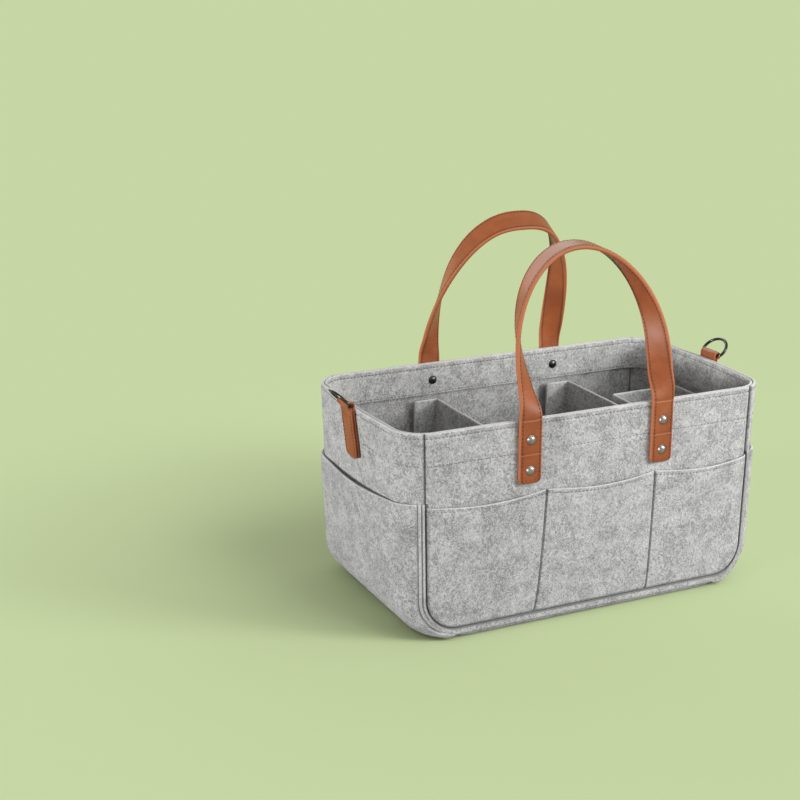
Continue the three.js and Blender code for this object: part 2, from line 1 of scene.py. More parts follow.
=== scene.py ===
import math
from itertools import product

import bpy
import numpy as np
from mathutils import Matrix, Vector


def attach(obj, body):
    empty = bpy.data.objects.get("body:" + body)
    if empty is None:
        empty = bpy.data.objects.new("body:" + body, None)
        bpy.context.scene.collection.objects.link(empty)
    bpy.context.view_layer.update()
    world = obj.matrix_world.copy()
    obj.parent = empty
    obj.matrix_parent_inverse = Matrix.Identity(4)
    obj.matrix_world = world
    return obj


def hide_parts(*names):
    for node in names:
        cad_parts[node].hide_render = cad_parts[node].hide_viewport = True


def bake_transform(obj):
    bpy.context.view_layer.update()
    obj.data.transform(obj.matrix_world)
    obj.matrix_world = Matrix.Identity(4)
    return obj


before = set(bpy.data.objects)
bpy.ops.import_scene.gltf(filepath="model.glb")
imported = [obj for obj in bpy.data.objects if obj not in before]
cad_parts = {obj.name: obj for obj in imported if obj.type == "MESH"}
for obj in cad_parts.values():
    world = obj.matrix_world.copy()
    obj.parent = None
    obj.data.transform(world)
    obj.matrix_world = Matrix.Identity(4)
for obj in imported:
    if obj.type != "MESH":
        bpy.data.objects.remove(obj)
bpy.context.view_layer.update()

bl_info = {
    "name": "Felt diaper caddy",
    "version": (1, 0, 0),
    "blender": (4, 5, 0),
    "location": "View3D > Sidebar > Caddy",
    "description": "Makes the felt, leather, metal and sewing of a diaper caddy around its solid model",
    "category": "Object",
}

MM = 0.001
FRONT, REAR = -1.0, 1.0
LEFT, RIGHT = -1.0, 1.0
SIDES = {"front": FRONT, "rear": REAR}
ENDS = {"left": LEFT, "right": RIGHT}

# How deep sewing presses the felt at the rim, along the facing's edge and at the pockets, how wide
# the first two dents are, and how far the thread stands out of a dent
RIM_DENT, RIM_DENT_WIDTH = 0.55 * MM, 1.0 * MM
HEM_DENT, HEM_DENT_WIDTH = 0.3 * MM, 1.1 * MM
FACING_RIM_DENT, FACING_HEM_DENT = 0.5 * MM, 0.35 * MM
MOUTH_DENT, POCKET_CREASE = 0.4 * MM, 1.5 * MM
THREAD_LIFT = 0.12 * MM

# How far the edge of the pocket layer stays inside the seam, and about how wide a pocket is
POCKET_INSET = 0.7 * MM
POCKET_WIDTH = 105 * MM

# Heights where the rows of points on the walls and the facing change step
SEWN_LOW, SEWN_HIGH, NEAR_RIM = 148 * MM, 158 * MM, 171 * MM

# Distance from the seam to the crests of a rolled edge's two ridges
FIRST_RIDGE, SECOND_RIDGE = 1.8 * MM, 4.0 * MM

# Heights where the dividers' rows of points change step, the radius of their bends, and how far
# the U-shaped divider's rear panel stops short of its end wing
DIVIDER_LOW, BOX_LOW, DIVIDER_HIGH = 16 * MM, 38 * MM, 138 * MM
DIVIDER_BEND = 3.2 * MM
BOX_STOP = 6 * MM

# Shapes of the two handles: lengths in millimetres, angles in degrees
ARCHES = {
    "front": {
        "place": 0.0, "spread": 2.5, "shoulder": 48.0, "crown": 129.5, "crown_place": 55.0,
        "lean": 1.0, "round": 1.0, "early": 17.0, "twist": 78.0, "twist_power": 1.6,
    },
    "rear": {
        "place": 5.0, "spread": 0.0, "shoulder": 12.0, "crown": 132.5, "crown_place": 48.0,
        "lean": 1.5, "round": 0.8, "early": 8.0, "twist": 122.0, "twist_power": 1.15,
    },
}
SHOULDER_SHARE = 0.25
TWIST_END = 0.95

# Heights and widths of the strap folds, painted as highlights, and how far above each lies a line painted as
# shadow
RIM_FOLD, RIM_FOLD_WIDTH, RIM_LINE = 179.4 * MM, 0.8 * MM, 1.2 * MM
REST_FOLD, REST_FOLD_WIDTH, REST_LINE = 151 * MM, 0.7 * MM, 1.1 * MM

# Tabs: distance of the stitching from the edge, how far the left one's foot swings to the front as
# a share of its drop, and where that starts below the ring
TAB_STITCH_INSET = 2.4 * MM
TAB_LEAN, TAB_LEAN_DROP = 0.13, 8 * MM

# Lights: turn from straight in front, towards the right, then rise and width, all in degrees
KEY_AIM, SIDE_AIM, SHEEN_AIM = (25, 48, 24), (-80, 1, 5), (172, 28, 50)
LAMP_PLACE, LAMP_TARGET, LAMP_SIZE = (0.72, -0.8, 0.5), (0.0, -0.1, 0.1), 0.45
SENSOR_WIDTH = 36.0

# The floor's radius, how far it lies below the caddy, where it melts into the backdrop, and the
# share of the soft light that reaches it
FLOOR_RADIUS, FLOOR_DROP = 14.0, 0.2 * MM
MELT_START, MELT_END = 0.3, 0.75
FLOOR_SKY_SHARE = 0.965


# Sizes and colours a user may change


def length(name, millimetres, description):
    return bpy.props.FloatProperty(
        name=name, description=description, default=millimetres * MM, unit="LENGTH", precision=5, min=0.0
    )


def amount(name, value, description):
    return bpy.props.FloatProperty(name=name, description=description, default=value)


def angle(name, degrees, description):
    radians = math.radians(degrees)
    return bpy.props.FloatProperty(name=name, description=description, default=radians, subtype="ANGLE")


def place(name, millimetres, description):
    return bpy.props.FloatProperty(
        name=name, description=description, default=millimetres * MM, unit="LENGTH", precision=5
    )


def tint(name, red, green, blue, description):
    base = (red, green, blue)
    return bpy.props.FloatVectorProperty(
        name=name, description=description, default=base, subtype="COLOR", size=3, min=0.0, max=1.0
    )


class CaddyFeltSizes(bpy.types.PropertyGroup):
    length: length("Length", 348, "Outside length of the body at the rim")
    depth: length("Depth", 192, "Outside depth of the body")
    height: length("Height", 180, "Height of the rim above the floor")
    felt: length("Felt", 3, "Thickness of the wall felt")
    end_taper: length("End taper", 5, "How much narrower each end is at the lower corner than at the rim")
    end_bow: length("End bow", 4, "How far the middle of each end leans out at the rim")
    plan_radius: length("Plan radius", 28, "Radius of the upright corners")
    lower_radius: length("Lower radius", 38, "Radius of the lower corners seen from the front")
    floor_radius: length("Floor edge radius", 6, "Radius along the front and rear edges of the floor")
    hem_depth: length("Hem depth", 30, "Depth of the facing inside the rim")
    hem: length("Hem", 2.5, "Thickness of the facing inside the rim")
    gap: length("Gap", 0.3, "Clearance between layers that touch")
    end_wrap: length("End wrap", 18, "How far each end wraps round to the front at the rim")
    seam_lean: length("Seam lean", 2.5, "How far the seams lean in towards the foot")
    seam_height: length("Seam height", 11, "Height of the seam above the floor")
    seam_radius: length("Seam radius", 27, "Radius of the seam's lower corners")
    roll_width: length("Roll width", 5, "Width of the rolled edge beside the seam")
    roll_top: length("Roll top", 121, "Height where the rolled edge stops")
    groove: length("Groove", 1.7, "How deep the felt dips into a seam")
    groove_reach: length("Groove reach", 3.2, "How far from a seam the dip reaches")


class CaddyPocketSizes(bpy.types.PropertyGroup):
    wall_layer: length("Wall pocket layer", 2, "Thickness of the front and rear pocket layer")
    wall_bulge: length("Wall pocket bulge", 5.5, "How far a pocket's mouth stands off the wall")
    wall_mouth: length("Wall pocket mouth", 118, "Height of the pocket mouths at their stitched ends")
    wall_sag: length("Wall pocket sag", 2.5, "How far each mouth sags in its middle")
    left_top: place("Left stitch top", -46, "Place of the left stitch line at the mouth")
    left_foot: place("Left stitch foot", -57, "Place of the left stitch line at its foot")
    right_top: place("Right stitch top", 59, "Place of the right stitch line at the mouth")
    right_foot: place("Right stitch foot", 54, "Place of the right stitch line at its foot")
    end_layer: length("End pocket layer", 3, "Thickness of the end pocket layer")
    end_bulge: length("End pocket bulge", 3.2, "How far an end pocket's mouth stands off the end")
    end_mouth_front: length("End mouth, front", 122, "Height of the end pocket's mouth at its front")
    end_mouth_rear: length("End mouth, rear", 115, "Height of the end pocket's mouth at its rear")
    end_sag: length("End pocket sag", 3.5, "How far the end pocket's mouth sags")
    rise_power: bpy.props.FloatProperty(
        name="Rise power", description="How late a pocket opens on its way up", default=1.4, min=0.5, max=4.0
    )


class CaddyDividerSizes(bpy.types.PropertyGroup):
    felt: length("Felt", 3, "Thickness of the dividers")
    foot: length("Foot", 6, "Height of the dividers' lower edge")
    top: length("Top", 147, "Height of the dividers' upper edge")
    left: place("Left divider", -55, "Place of the left divider")
    right: place("Right divider", 83, "Place of the right divider")
    flange: length("Flange", 22, "Length of the flanges that carry the tape")
    tape_stack: length("Tape stack", 4.9, "Space between a wall and a flange, for the tapes")
    box_wing: place("Box wing", 97, "Place of the U-shaped divider's inner wing")
    box_rear: place("Box rear", 30, "Place of the U-shaped divider's rear panel")
    box_front: place("Box front", -60, "Where the U-shaped divider's end wing stops")


class CaddyLeatherSizes(bpy.types.PropertyGroup):
    strap_width: length("Strap width", 21, "Width of the handle straps")
    strap: length("Strap", 3.6, "Thickness of the handle straps")
    leg_place: length("Leg place", 63, "Distance of each strap leg from the middle")
    leg_foot: length("Leg foot", 126.5, "Height of the strap's lower end")
    foot_radius: length("Foot radius", 5, "Corner radius of the strap's lower end")
    hinge: length("Hinge height", 182, "Height at which a handle starts to fold")
    stitch_inset: length("Stitch inset", 2.5, "Distance of the stitching from a strap's edge")
    tab_width: length("Tab width", 22, "Width of the tabs that hold the rings")
    tab: length("Tab", 4, "Thickness of a doubled tab")
    tab_foot: length("Tab foot", 137, "Height of a tab's lower end")
    tab_radius: length("Tab radius", 6, "Corner radius of a tab's lower end")
    loop_wall: length("Loop wall", 2, "Thickness of the leather round a ring")


class CaddyMetalSizes(bpy.types.PropertyGroup):
    rivet_radius: length("Rivet radius", 4, "Radius of a rivet's head")
    rivet_height: length("Rivet height", 1.8, "Height of a rivet's head")
    cap_height: length("Cap height", 1.5, "Height of a rivet's inner cap")
    rivet_low: length("Lower rivet", 138, "Height of the lower rivets")
    rivet_high: length("Upper rivet", 164, "Height of the upper rivets")
    wire: length("Ring wire", 1.4, "Radius of a D-ring's wire")
    ring_half: length("Ring half width", 14, "Half the width of a D-ring")
    ring_reach: length("Ring reach", 17, "How far a D-ring's bow reaches from its bar")
    ring_corner: length("Ring corner", 5, "Corner radius of a D-ring's bar")
    ring_height: length("Ring height", 183, "Height of a D-ring's bar")
    ring_tilt: angle("Ring tilt", 45, "Rise of a D-ring at rest")


class CaddySewing(bpy.types.PropertyGroup):
    pitch: length("Pitch", 3.4, "Distance from one stitch to the next")
    stitch: length("Stitch", 2.2, "Length of a stitch")
    thread: length("Thread", 0.8, "Thickness of the thread")
    rim_drop: length("Rim stitch drop", 4.5, "How far below the rim the top stitching runs")
    hem_level: length("Hem stitch height", 152.5, "Height of the stitching that holds the facing")
    mouth_drop: length("Mouth stitch drop", 2.6, "How far below a pocket's mouth its stitching runs")
    seed: bpy.props.IntProperty(name="Seed", description="Seed of the stitches' slight unevenness", default=7)


class CaddyColours(bpy.types.PropertyGroup):
    felt_light: tint("Light fibre", 0.55, 0.55, 0.535, "Lightest fibres of the felt")
    felt_dark: tint("Dark fibre", 0.18, 0.18, 0.174, "Darkest fibres of the felt")
    # The felt thread's own grey, darkened further by painted shade of the stitch holes it sinks into
    thread_grey_and_shade: tint("Felt thread", 0.13, 0.13, 0.125, "Thread on the felt")
    leather_light: tint("Light leather", 0.32, 0.094, 0.032, "Lighter tone of the leather")
    leather_dark: tint("Dark leather", 0.20, 0.050, 0.017, "Darker tone of the leather")
    leather_edge: tint("Leather edge", 0.39, 0.130, 0.052, "Painted edge of the leather")
    thread_brown: tint("Leather thread", 0.075, 0.022, 0.011, "Thread on the leather")
    nickel: tint("Nickel", 0.365, 0.305, 0.36, "Rivets")
    gunmetal: tint("Gunmetal", 0.055, 0.055, 0.058, "D-rings and inner caps")
    tape: tint("Tape", 0.30, 0.30, 0.295, "Hook and loop tape")
    board: tint("Board", 0.33, 0.30, 0.25, "Board under the felt floor")


class CaddyStage(bpy.types.PropertyGroup):
    backdrop: tint("Backdrop", 0.571, 0.672, 0.376, "Floor and backdrop")
    sky: amount("Sky", 0.82, "Strength of the soft light all round")
    zenith: amount("Zenith", 0.6, "How much dimmer that light is overhead")
    lean: amount("Lean", 0.5, "How much brighter that light is from the right")
    key: amount("Key", 0.6, "Strength of the main light")
    side: amount("Side", 3.3, "Strength of the low light on the left end")
    near: amount("Near lamp", 10.2, "Power of the lamp at the right")
    sheen: amount("Sheen", 2.0, "Strength of the light behind that only shines")
    bounce: amount("Bounce", 0.15, "How much light the floor throws back")
    azimuth: angle("Azimuth", 24.93, "Camera's turn from straight in front")
    elevation: angle("Elevation", 16.81, "Camera's rise")
    roll: angle("Roll", -0.15, "Camera's roll")
    distance: length("Distance", 1238.7, "Camera's distance from its target")
    target: bpy.props.FloatVectorProperty(
        name="Target",
        description="Point the camera looks at",
        default=(-0.1534, -0.0445, 0.194),
        subtype="XYZ",
    )
    lens: amount("Lens", 69.37, "Focal length in millimetres")


GROUPS = {
    "caddy_felt": CaddyFeltSizes,
    "caddy_pockets": CaddyPocketSizes,
    "caddy_dividers": CaddyDividerSizes,
    "caddy_leather": CaddyLeatherSizes,
    "caddy_metal": CaddyMetalSizes,
    "caddy_sewing": CaddySewing,
    "caddy_colours": CaddyColours,
    "caddy_stage": CaddyStage,
}


# Shader maths


class Signal:
    """A shader socket whose Python arithmetic adds Math nodes."""

    def __init__(self, nodes, socket):
        self.nodes = nodes
        self.socket = socket

    def math(self, operation, *values):
        return self.nodes.node("Math", {"operation": operation}, dict(enumerate(values)))

    def __add__(self, other):
        return self.math("ADD", self, other)

    __radd__ = __add__

    def __sub__(self, other):
        return self.math("SUBTRACT", self, other)

    def __mul__(self, other):
        return self.math("MULTIPLY", self, other)

    __rmul__ = __mul__

    def __truediv__(self, other):
        return self.math("DIVIDE", self, other)

    def __rtruediv__(self, other):
        return self.math("DIVIDE", other, self)

    def __pow__(self, other):
        return self.math("POWER", self, other)

    def smooth(self, low, high):
        """Rises smoothly from 0 at low to 1 at high."""
        settings = {"interpolation_type": "SMOOTHSTEP"}
        return self.nodes.node("MapRange", settings, {0: self, 1: low, 2: high})


class Nodes:
    """A shader tree whose nodes are added by kind, settings and inputs."""

    def __init__(self, tree):
        self.tree = tree
        self.tree.nodes.clear()

    def node(self, kind, settings=None, inputs=None, output=0):
        made = self.tree.nodes.new("ShaderNode" + kind)
        for key, value in (settings or {}).items():
            setattr(made, key, value)
        for key, value in (inputs or {}).items():
            socket = made.inputs[key]
            if isinstance(value, Signal):
                self.tree.links.new(value.socket, socket)
            else:
                socket.default_value = value
        return Signal(self, made.outputs[output])

    def background_rays(self):
        """One for rays that see the plain background: the camera's, off metal and through glass."""
        labels = ("Is Camera Ray", "Is Glossy Ray", "Is Transmission Ray")
        camera, glossy, transmission = (self.node("LightPath", output=label) for label in labels)
        return camera.math("MAXIMUM", camera.math("MAXIMUM", camera, glossy), transmission)

    def result(self, surface, kind="OutputMaterial"):
        out = self.tree.nodes.new("ShaderNode" + kind)
        self.tree.links.new(surface.socket, out.inputs[0])


class Finish(Nodes):
    """A material built from nodes."""

    def __init__(self, name):
        self.material = bpy.data.materials.new(name)
        self.material.use_nodes = True
        super().__init__(self.material.node_tree)

    def place(self, scale=(1.0, 1.0, 1.0), turn=(0.0, 0.0, 0.0)):
        here = self.node("TexCoord", output="Object")
        return self.node("Mapping", {"vector_type": "POINT"}, {0: here, 2: turn, 3: scale})

    def noise(self, place, scale, detail=2.0, roughness=0.5, distortion=0.0, kind="FBM"):
        settings = {"noise_dimensions": "3D", "noise_type": kind}
        inputs = {"Vector": place, "Scale": scale, "Detail": detail}
        inputs.update(Roughness=roughness, Distortion=distortion)
        return self.node("TexNoise", settings, inputs)

    def attribute(self, name):
        return self.node("Attribute", {"attribute_name": name}, output=2)

    def mix(self, share, first, second):
        settings = {"data_type": "RGBA", "blend_type": "MIX"}
        return self.node("Mix", settings, {0: share, 6: colour(first), 7: colour(second)}, output=2)

    def bump(self, height, strength, distance):
        return self.node("Bump", {}, {"Height": height, "Strength": strength, "Distance": distance})

    def close(self, base, roughness, normal, **constants):
        inputs = {"Base Color": base, "Roughness": roughness, "Normal": normal}
        inputs.update({key.replace("_", " "): value for key, value in constants.items()})
        self.result(self.node("BsdfPrincipled", {}, inputs))
        return self.material


def colour(value):
    if isinstance(value, Signal):
        return value
    return (*value, 1.0) if len(value) == 3 else value


def shade(value, factor):
    return tuple(min(1.0, part * factor) for part in value)


FINISHES = {}


def felt_finish(name, colours, level=1.0):
    """Pressed heather felt: curled light and dark fibres, faintly cloudy, with painted highlights on the
    rounded cut edges and ridges, and painted shade in seams and creases; a level above 1 makes a lighter
    copy, which is painted light.
    """
    finish = Finish(name)
    spot = finish.place()
    drawn = finish.place(scale=(1.0, 0.6, 0.8), turn=(0.6, 0.25, 0.1))
    fibres = finish.noise(drawn, 620.0, 6.0, 0.78, 2.6)
    tufts = finish.noise(drawn, 270.0, 5.0, 0.68, 2.2)
    clouds = finish.noise(spot, 62.0, 3.0, 0.55, 0.5)
    wisps = finish.noise(drawn, 420.0, 3.0, 0.6, 2.5, "RIDGED_MULTIFRACTAL")
    tone = (fibres - 0.5) * 2.7 + (tufts - 0.5) * 2.3 + (clouds - 0.5) * 0.8 + 0.5
    dark, light = shade(colours.felt_dark, level), shade(colours.felt_light, level)
    base = finish.mix(tone.smooth(0.0, 1.0), dark, light)
    flecks = (tufts * 0.4 + fibres * 0.6).smooth(0.6, 0.7)
    flecked = finish.mix(flecks * 0.45, base, shade(colours.felt_dark, 0.7 * level))
    lit = finish.mix(wisps.smooth(1.0, 1.7) * 0.4, flecked, shade(colours.felt_light, 1.2 * level))
    # Painted highlight: rounded cut edges and ridge crests are made paler, as where they catch the light
    edge_highlight = finish.attribute("edge")
    pale = finish.mix(edge_highlight * (0.35 + fibres * 0.5), lit, shade(colours.felt_light, 1.2))
    # Painted shade: seams, grooves, pocket creases and the steps beside them are darkened
    seam_shaded = finish.mix(finish.attribute("seam") * 0.85, pale, shade(colours.felt_dark, 0.35))
    height = fibres * 0.6 + wisps * 0.2 + tufts * 0.6
    normal = finish.bump(height, 0.6, 0.6 * MM)
    return finish.close(seam_shaded, 0.96, normal, Sheen_Weight=0.2, Sheen_Roughness=0.6, Specular_IOR_Level=0.15)


def leather_finish(name, colours):
    """Smooth coated leather with a fine pebble grain and painted edges, with painted highlights on the folds,
    and painted shade in the stitch grooves, along the lines above the folds and round the rivets.
    """
    finish = Finish(name)
    spot = finish.place()
    cells = finish.node("TexVoronoi", {"feature": "DISTANCE_TO_EDGE"}, {"Vector": spot, "Scale": 1150.0})
    folds = finish.noise(spot, 900.0, 3.0, 0.6, 0.8)
    clouds = finish.noise(spot, 45.0, 3.0, 0.55, 0.4)
    tone = (clouds - 0.5) * 1.3 + (folds - 0.5) * 0.5 + 0.5
    base = finish.mix(tone.smooth(0.0, 1.0), colours.leather_dark, colours.leather_light)
    # The edges' own paint, and the painted highlights on the folds across the legs, which share this mark
    edge = finish.attribute("edge")
    rimmed = finish.mix(edge.smooth(0.35, 0.9) * 0.75, base, colours.leather_edge)
    # Painted shade in the stitch grooves, in the lines above the folds and in the rings round the rivet heads
    painted_shade = finish.attribute("painted_shade")
    shaded_leather = finish.mix(painted_shade * 0.4, rimmed, shade(colours.leather_dark, 0.45))
    grain = cells.smooth(0.0, 0.22) * 0.7 + folds * 0.4
    normal = finish.bump(grain, 0.28, 0.12 * MM)
    rough = 0.42 + (folds - 0.5) * 0.2 + edge * 0.12
    return finish.close(shaded_leather, rough, normal, Specular_IOR_Level=0.25)


def metal_finish(name, base, roughness):
    """Plated metal with faint swirls, so that its shine breaks up a little."""
    finish = Finish(name)
    spot = finish.place()
    swirls = finish.noise(spot, 700.0, 3.0, 0.6, 1.2)
    clouds = finish.noise(spot, 160.0, 2.0, 0.5)
    tone = finish.mix(clouds.smooth(0.3, 0.7), shade(base, 0.82), shade(base, 1.1))
    rough = roughness + (swirls - 0.5) * 0.12
    normal = finish.bump(swirls, 0.05, 0.05 * MM)
    return finish.close(tone, rough, normal, Metallic=1.0)


def thread_finish(name, base):
    """Twisted sewing thread."""
    finish = Finish(name)
    spot = finish.place()
    twist = finish.noise(spot, 2600.0, 2.0, 0.5)
    tone = finish.mix(twist.smooth(0.3, 0.7), shade(base, 0.75), shade(base, 1.15))
    return finish.close(tone, 0.8, finish.bump(twist, 0.4, 0.1 * MM))


def tape_finish(name, base):
    """Hook and loop tape: a woven strip under a dense pile of loops."""
    finish = Finish(name)
    spot = finish.place()
    pile = finish.noise(spot, 1600.0, 3.0, 0.7, 1.5)
    wave = {"Vector": spot, "Scale": 260.0, "Distortion": 1.5}
    rows = finish.node("TexWave", {"bands_direction": "Z"}, wave)
    tone = finish.mix((pile * 0.7 + rows * 0.3).smooth(0.25, 0.75), shade(base, 0.6), shade(base, 1.25))
    return finish.close(tone, 0.9, finish.bump(pile + rows * 0.5, 0.6, 0.3 * MM))


def board_finish(name, base):
    """Grey board with pressed paper fibres."""
    finish = Finish(name)
    spot = finish.place(scale=(1.0, 0.4, 1.0))
    fibres = finish.noise(spot, 800.0, 4.0, 0.65, 1.2)
    clouds = finish.noise(spot, 60.0, 2.0, 0.5)
    tone = finish.mix((fibres * 0.6 + clouds * 0.4).smooth(0.3, 0.7), shade(base, 0.75), shade(base, 1.2))
    return finish.close(tone, 0.85, finish.bump(fibres, 0.25, 0.1 * MM))


# Body surface, the same rule as the solid's


def smoothstep(value):
    value = np.clip(value, 0.0, 1.0)
    return value * value * (3.0 - 2.0 * value)


def bell(distance, width):
    return np.exp(-((distance / width) ** 2))


def lerp(first, second, share):
    return first + (second - first) * share


class Body:
    """Outer surface of the caddy's body, and its seams."""

    def __init__(self, sizes):
        self.s = sizes
        self.half = sizes.length / 2
        self.side = sizes.depth / 2
        self.centre = self.half - sizes.end_taper - sizes.lower_radius
        self.flat = self.side - sizes.plan_radius
        self.seam_top = self.half - sizes.end_wrap
        self.seam_foot = self.seam_top - sizes.seam_lean

    def climb(self, z):
        low = self.s.lower_radius
        return (np.minimum(z, self.s.height) - low) / (self.s.height - low)

    def half_length(self, z, out=0.0):
        radius = self.s.lower_radius
        corner = self.centre + np.sqrt(np.maximum(0.0, (radius + out) ** 2 - (radius - z) ** 2))
        return np.where(z < radius, corner, self.half - self.s.end_taper * (1 - self.climb(z)) + out)

    def half_depth(self, z, out=0.0):
        radius = self.s.floor_radius
        corner = self.side - radius + np.sqrt(np.maximum(0.0, (radius + out) ** 2 - (radius - z) ** 2))
        return np.where(z < radius, corner, self.side + out)

    def bow(self, y, z):
        across = np.cos(math.pi / 2 * np.minimum(1.0, np.abs(y) / self.side)) ** 2
        return self.s.end_bow * across * np.maximum(0.0, self.climb(z))

    def seam_half(self, z, grow=0.0):
        """Half the width of the front wall, seam to seam, at height z."""
        radius = self.s.seam_radius + grow
        level = self.s.seam_height + self.s.seam_radius
        foot = self.seam_foot - self.s.seam_radius
        corner = foot + np.sqrt(np.maximum(0.0, radius**2 - (level - z) ** 2))
        lean = self.s.seam_lean * np.maximum(0.0, z - level) / (self.s.height - level)
        straight = self.seam_foot + grow + lean
        return np.where(z < level, corner, straight)

    def seam_distance(self, x, z):
        """How far a point of the front wall is inside the seam."""
        level = self.s.seam_height + self.s.seam_radius
        foot = self.seam_foot - self.s.seam_radius
        past = np.maximum(0.0, np.abs(x) - foot)
        corner = self.s.seam_radius - np.hypot(past, np.maximum(0.0, level - z))
        return np.where(z < level, corner, self.seam_half(z) - np.abs(x))

    def wall(self, x, z, out=0.0):
        """Depth of the surface at x and z, seen from the front."""
        radius = self.s.plan_radius + out
        past = np.maximum(0.0, np.abs(x) - (self.half_length(z, out) - radius))
        reach = self.half_depth(z, out) - self.flat
        return self.flat + reach * np.sqrt(np.maximum(0.0, 1 - (np.minimum(past, radius) / radius) ** 2))

    def end(self, share, z, start, out=0.0):
        """Points round an end at height z, from start on the front face to start on the rear face."""
        share, z, start, out = np.broadcast_arrays(share, z, start, out)
        radius = self.s.plan_radius
        middle = self.half_length(z) - radius
        straight = np.maximum(0.0, middle - start)
        first = np.arcsin(np.clip((start - middle) / radius, 0.0, 1.0))
        arc = radius * (math.pi / 2 - first)
        total = 2 * (straight + arc + self.flat)
        near = np.minimum(share, 1 - share) * total
        corner_x = self.half_length(z, out) - radius - out
        reach = self.half_depth(z, out) - self.flat
        along = np.clip(near / np.maximum(straight, 1e-9), 0.0, 1.0)
        turn = lerp(first, math.pi / 2, np.clip((near - straight) / arc, 0.0, 1.0))
        on_front = near < straight
        x = np.where(on_front, lerp(start, corner_x, along), corner_x + (radius + out) * np.sin(turn))
        y = np.where(on_front, self.flat + reach, self.flat + reach * np.cos(turn))
        past = near - straight - arc
        y = np.where(past > 0, np.maximum(0.0, self.flat - past), y)
        y = y * np.where(share < 0.5, FRONT, REAR)
        return np.stack([-(x + self.bow(y, z)), y, z], axis=-1)


def ripple(x, z, amount, phase=0.0):
    """Slight unevenness of soft felt."""
    wave = np.sin(x * 47 + z * 21 + phase) + 0.7 * np.sin(z * 83 - x * 31 + 1.7 * phase)
    wave = wave + 0.5 * np.sin(x * 121 + z * 67 + 2.3 * phase) + 0.3 * np.sin(x * 210 - z * 190 + phase)
    return amount * wave / 2.5


# Mesh making

# Faces across a rounded cut edge, and the distance within which points are joined
EDGE_STEPS = 4
WELD = 1e-6


def piece(name, points, faces, material, flat=False):
    mesh = bpy.data.meshes.new(name)
    spots = [tuple(float(c) for c in point) for point in points]
    mesh.from_pydata(spots, [], [tuple(int(i) for i in face) for face in faces])
    mesh.validate()
    mesh.update()
    mesh.materials.append(FINISHES[material])
    if not flat:
        mesh.shade_smooth()
    made = bpy.data.objects.new(name, mesh)
    bpy.context.scene.collection.objects.link(made)
    return made


def point_values(made, name, values):
    attribute = made.data.attributes.new(name, "FLOAT", "POINT")
    attribute.data.foreach_set("value", np.asarray(values, np.float32))


def settle(made, body, slot, *nodes):
    """Puts a finished piece on its body and hides the solids it stands for; its slot is not used."""
    if body:
        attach(made, body)
    if nodes:
        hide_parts(*nodes)
    return made


def grid_faces(rows, columns, wrap=False, start=0):
    across = columns if wrap else columns - 1
    i, j = np.meshgrid(np.arange(rows - 1), np.arange(across), indexing="ij")
    k = (j + 1) % columns
    first = start + i * columns
    faces = np.stack([first + j, first + k, first + columns + k, first + columns + j], axis=-1)
    return faces.reshape(-1, 4)


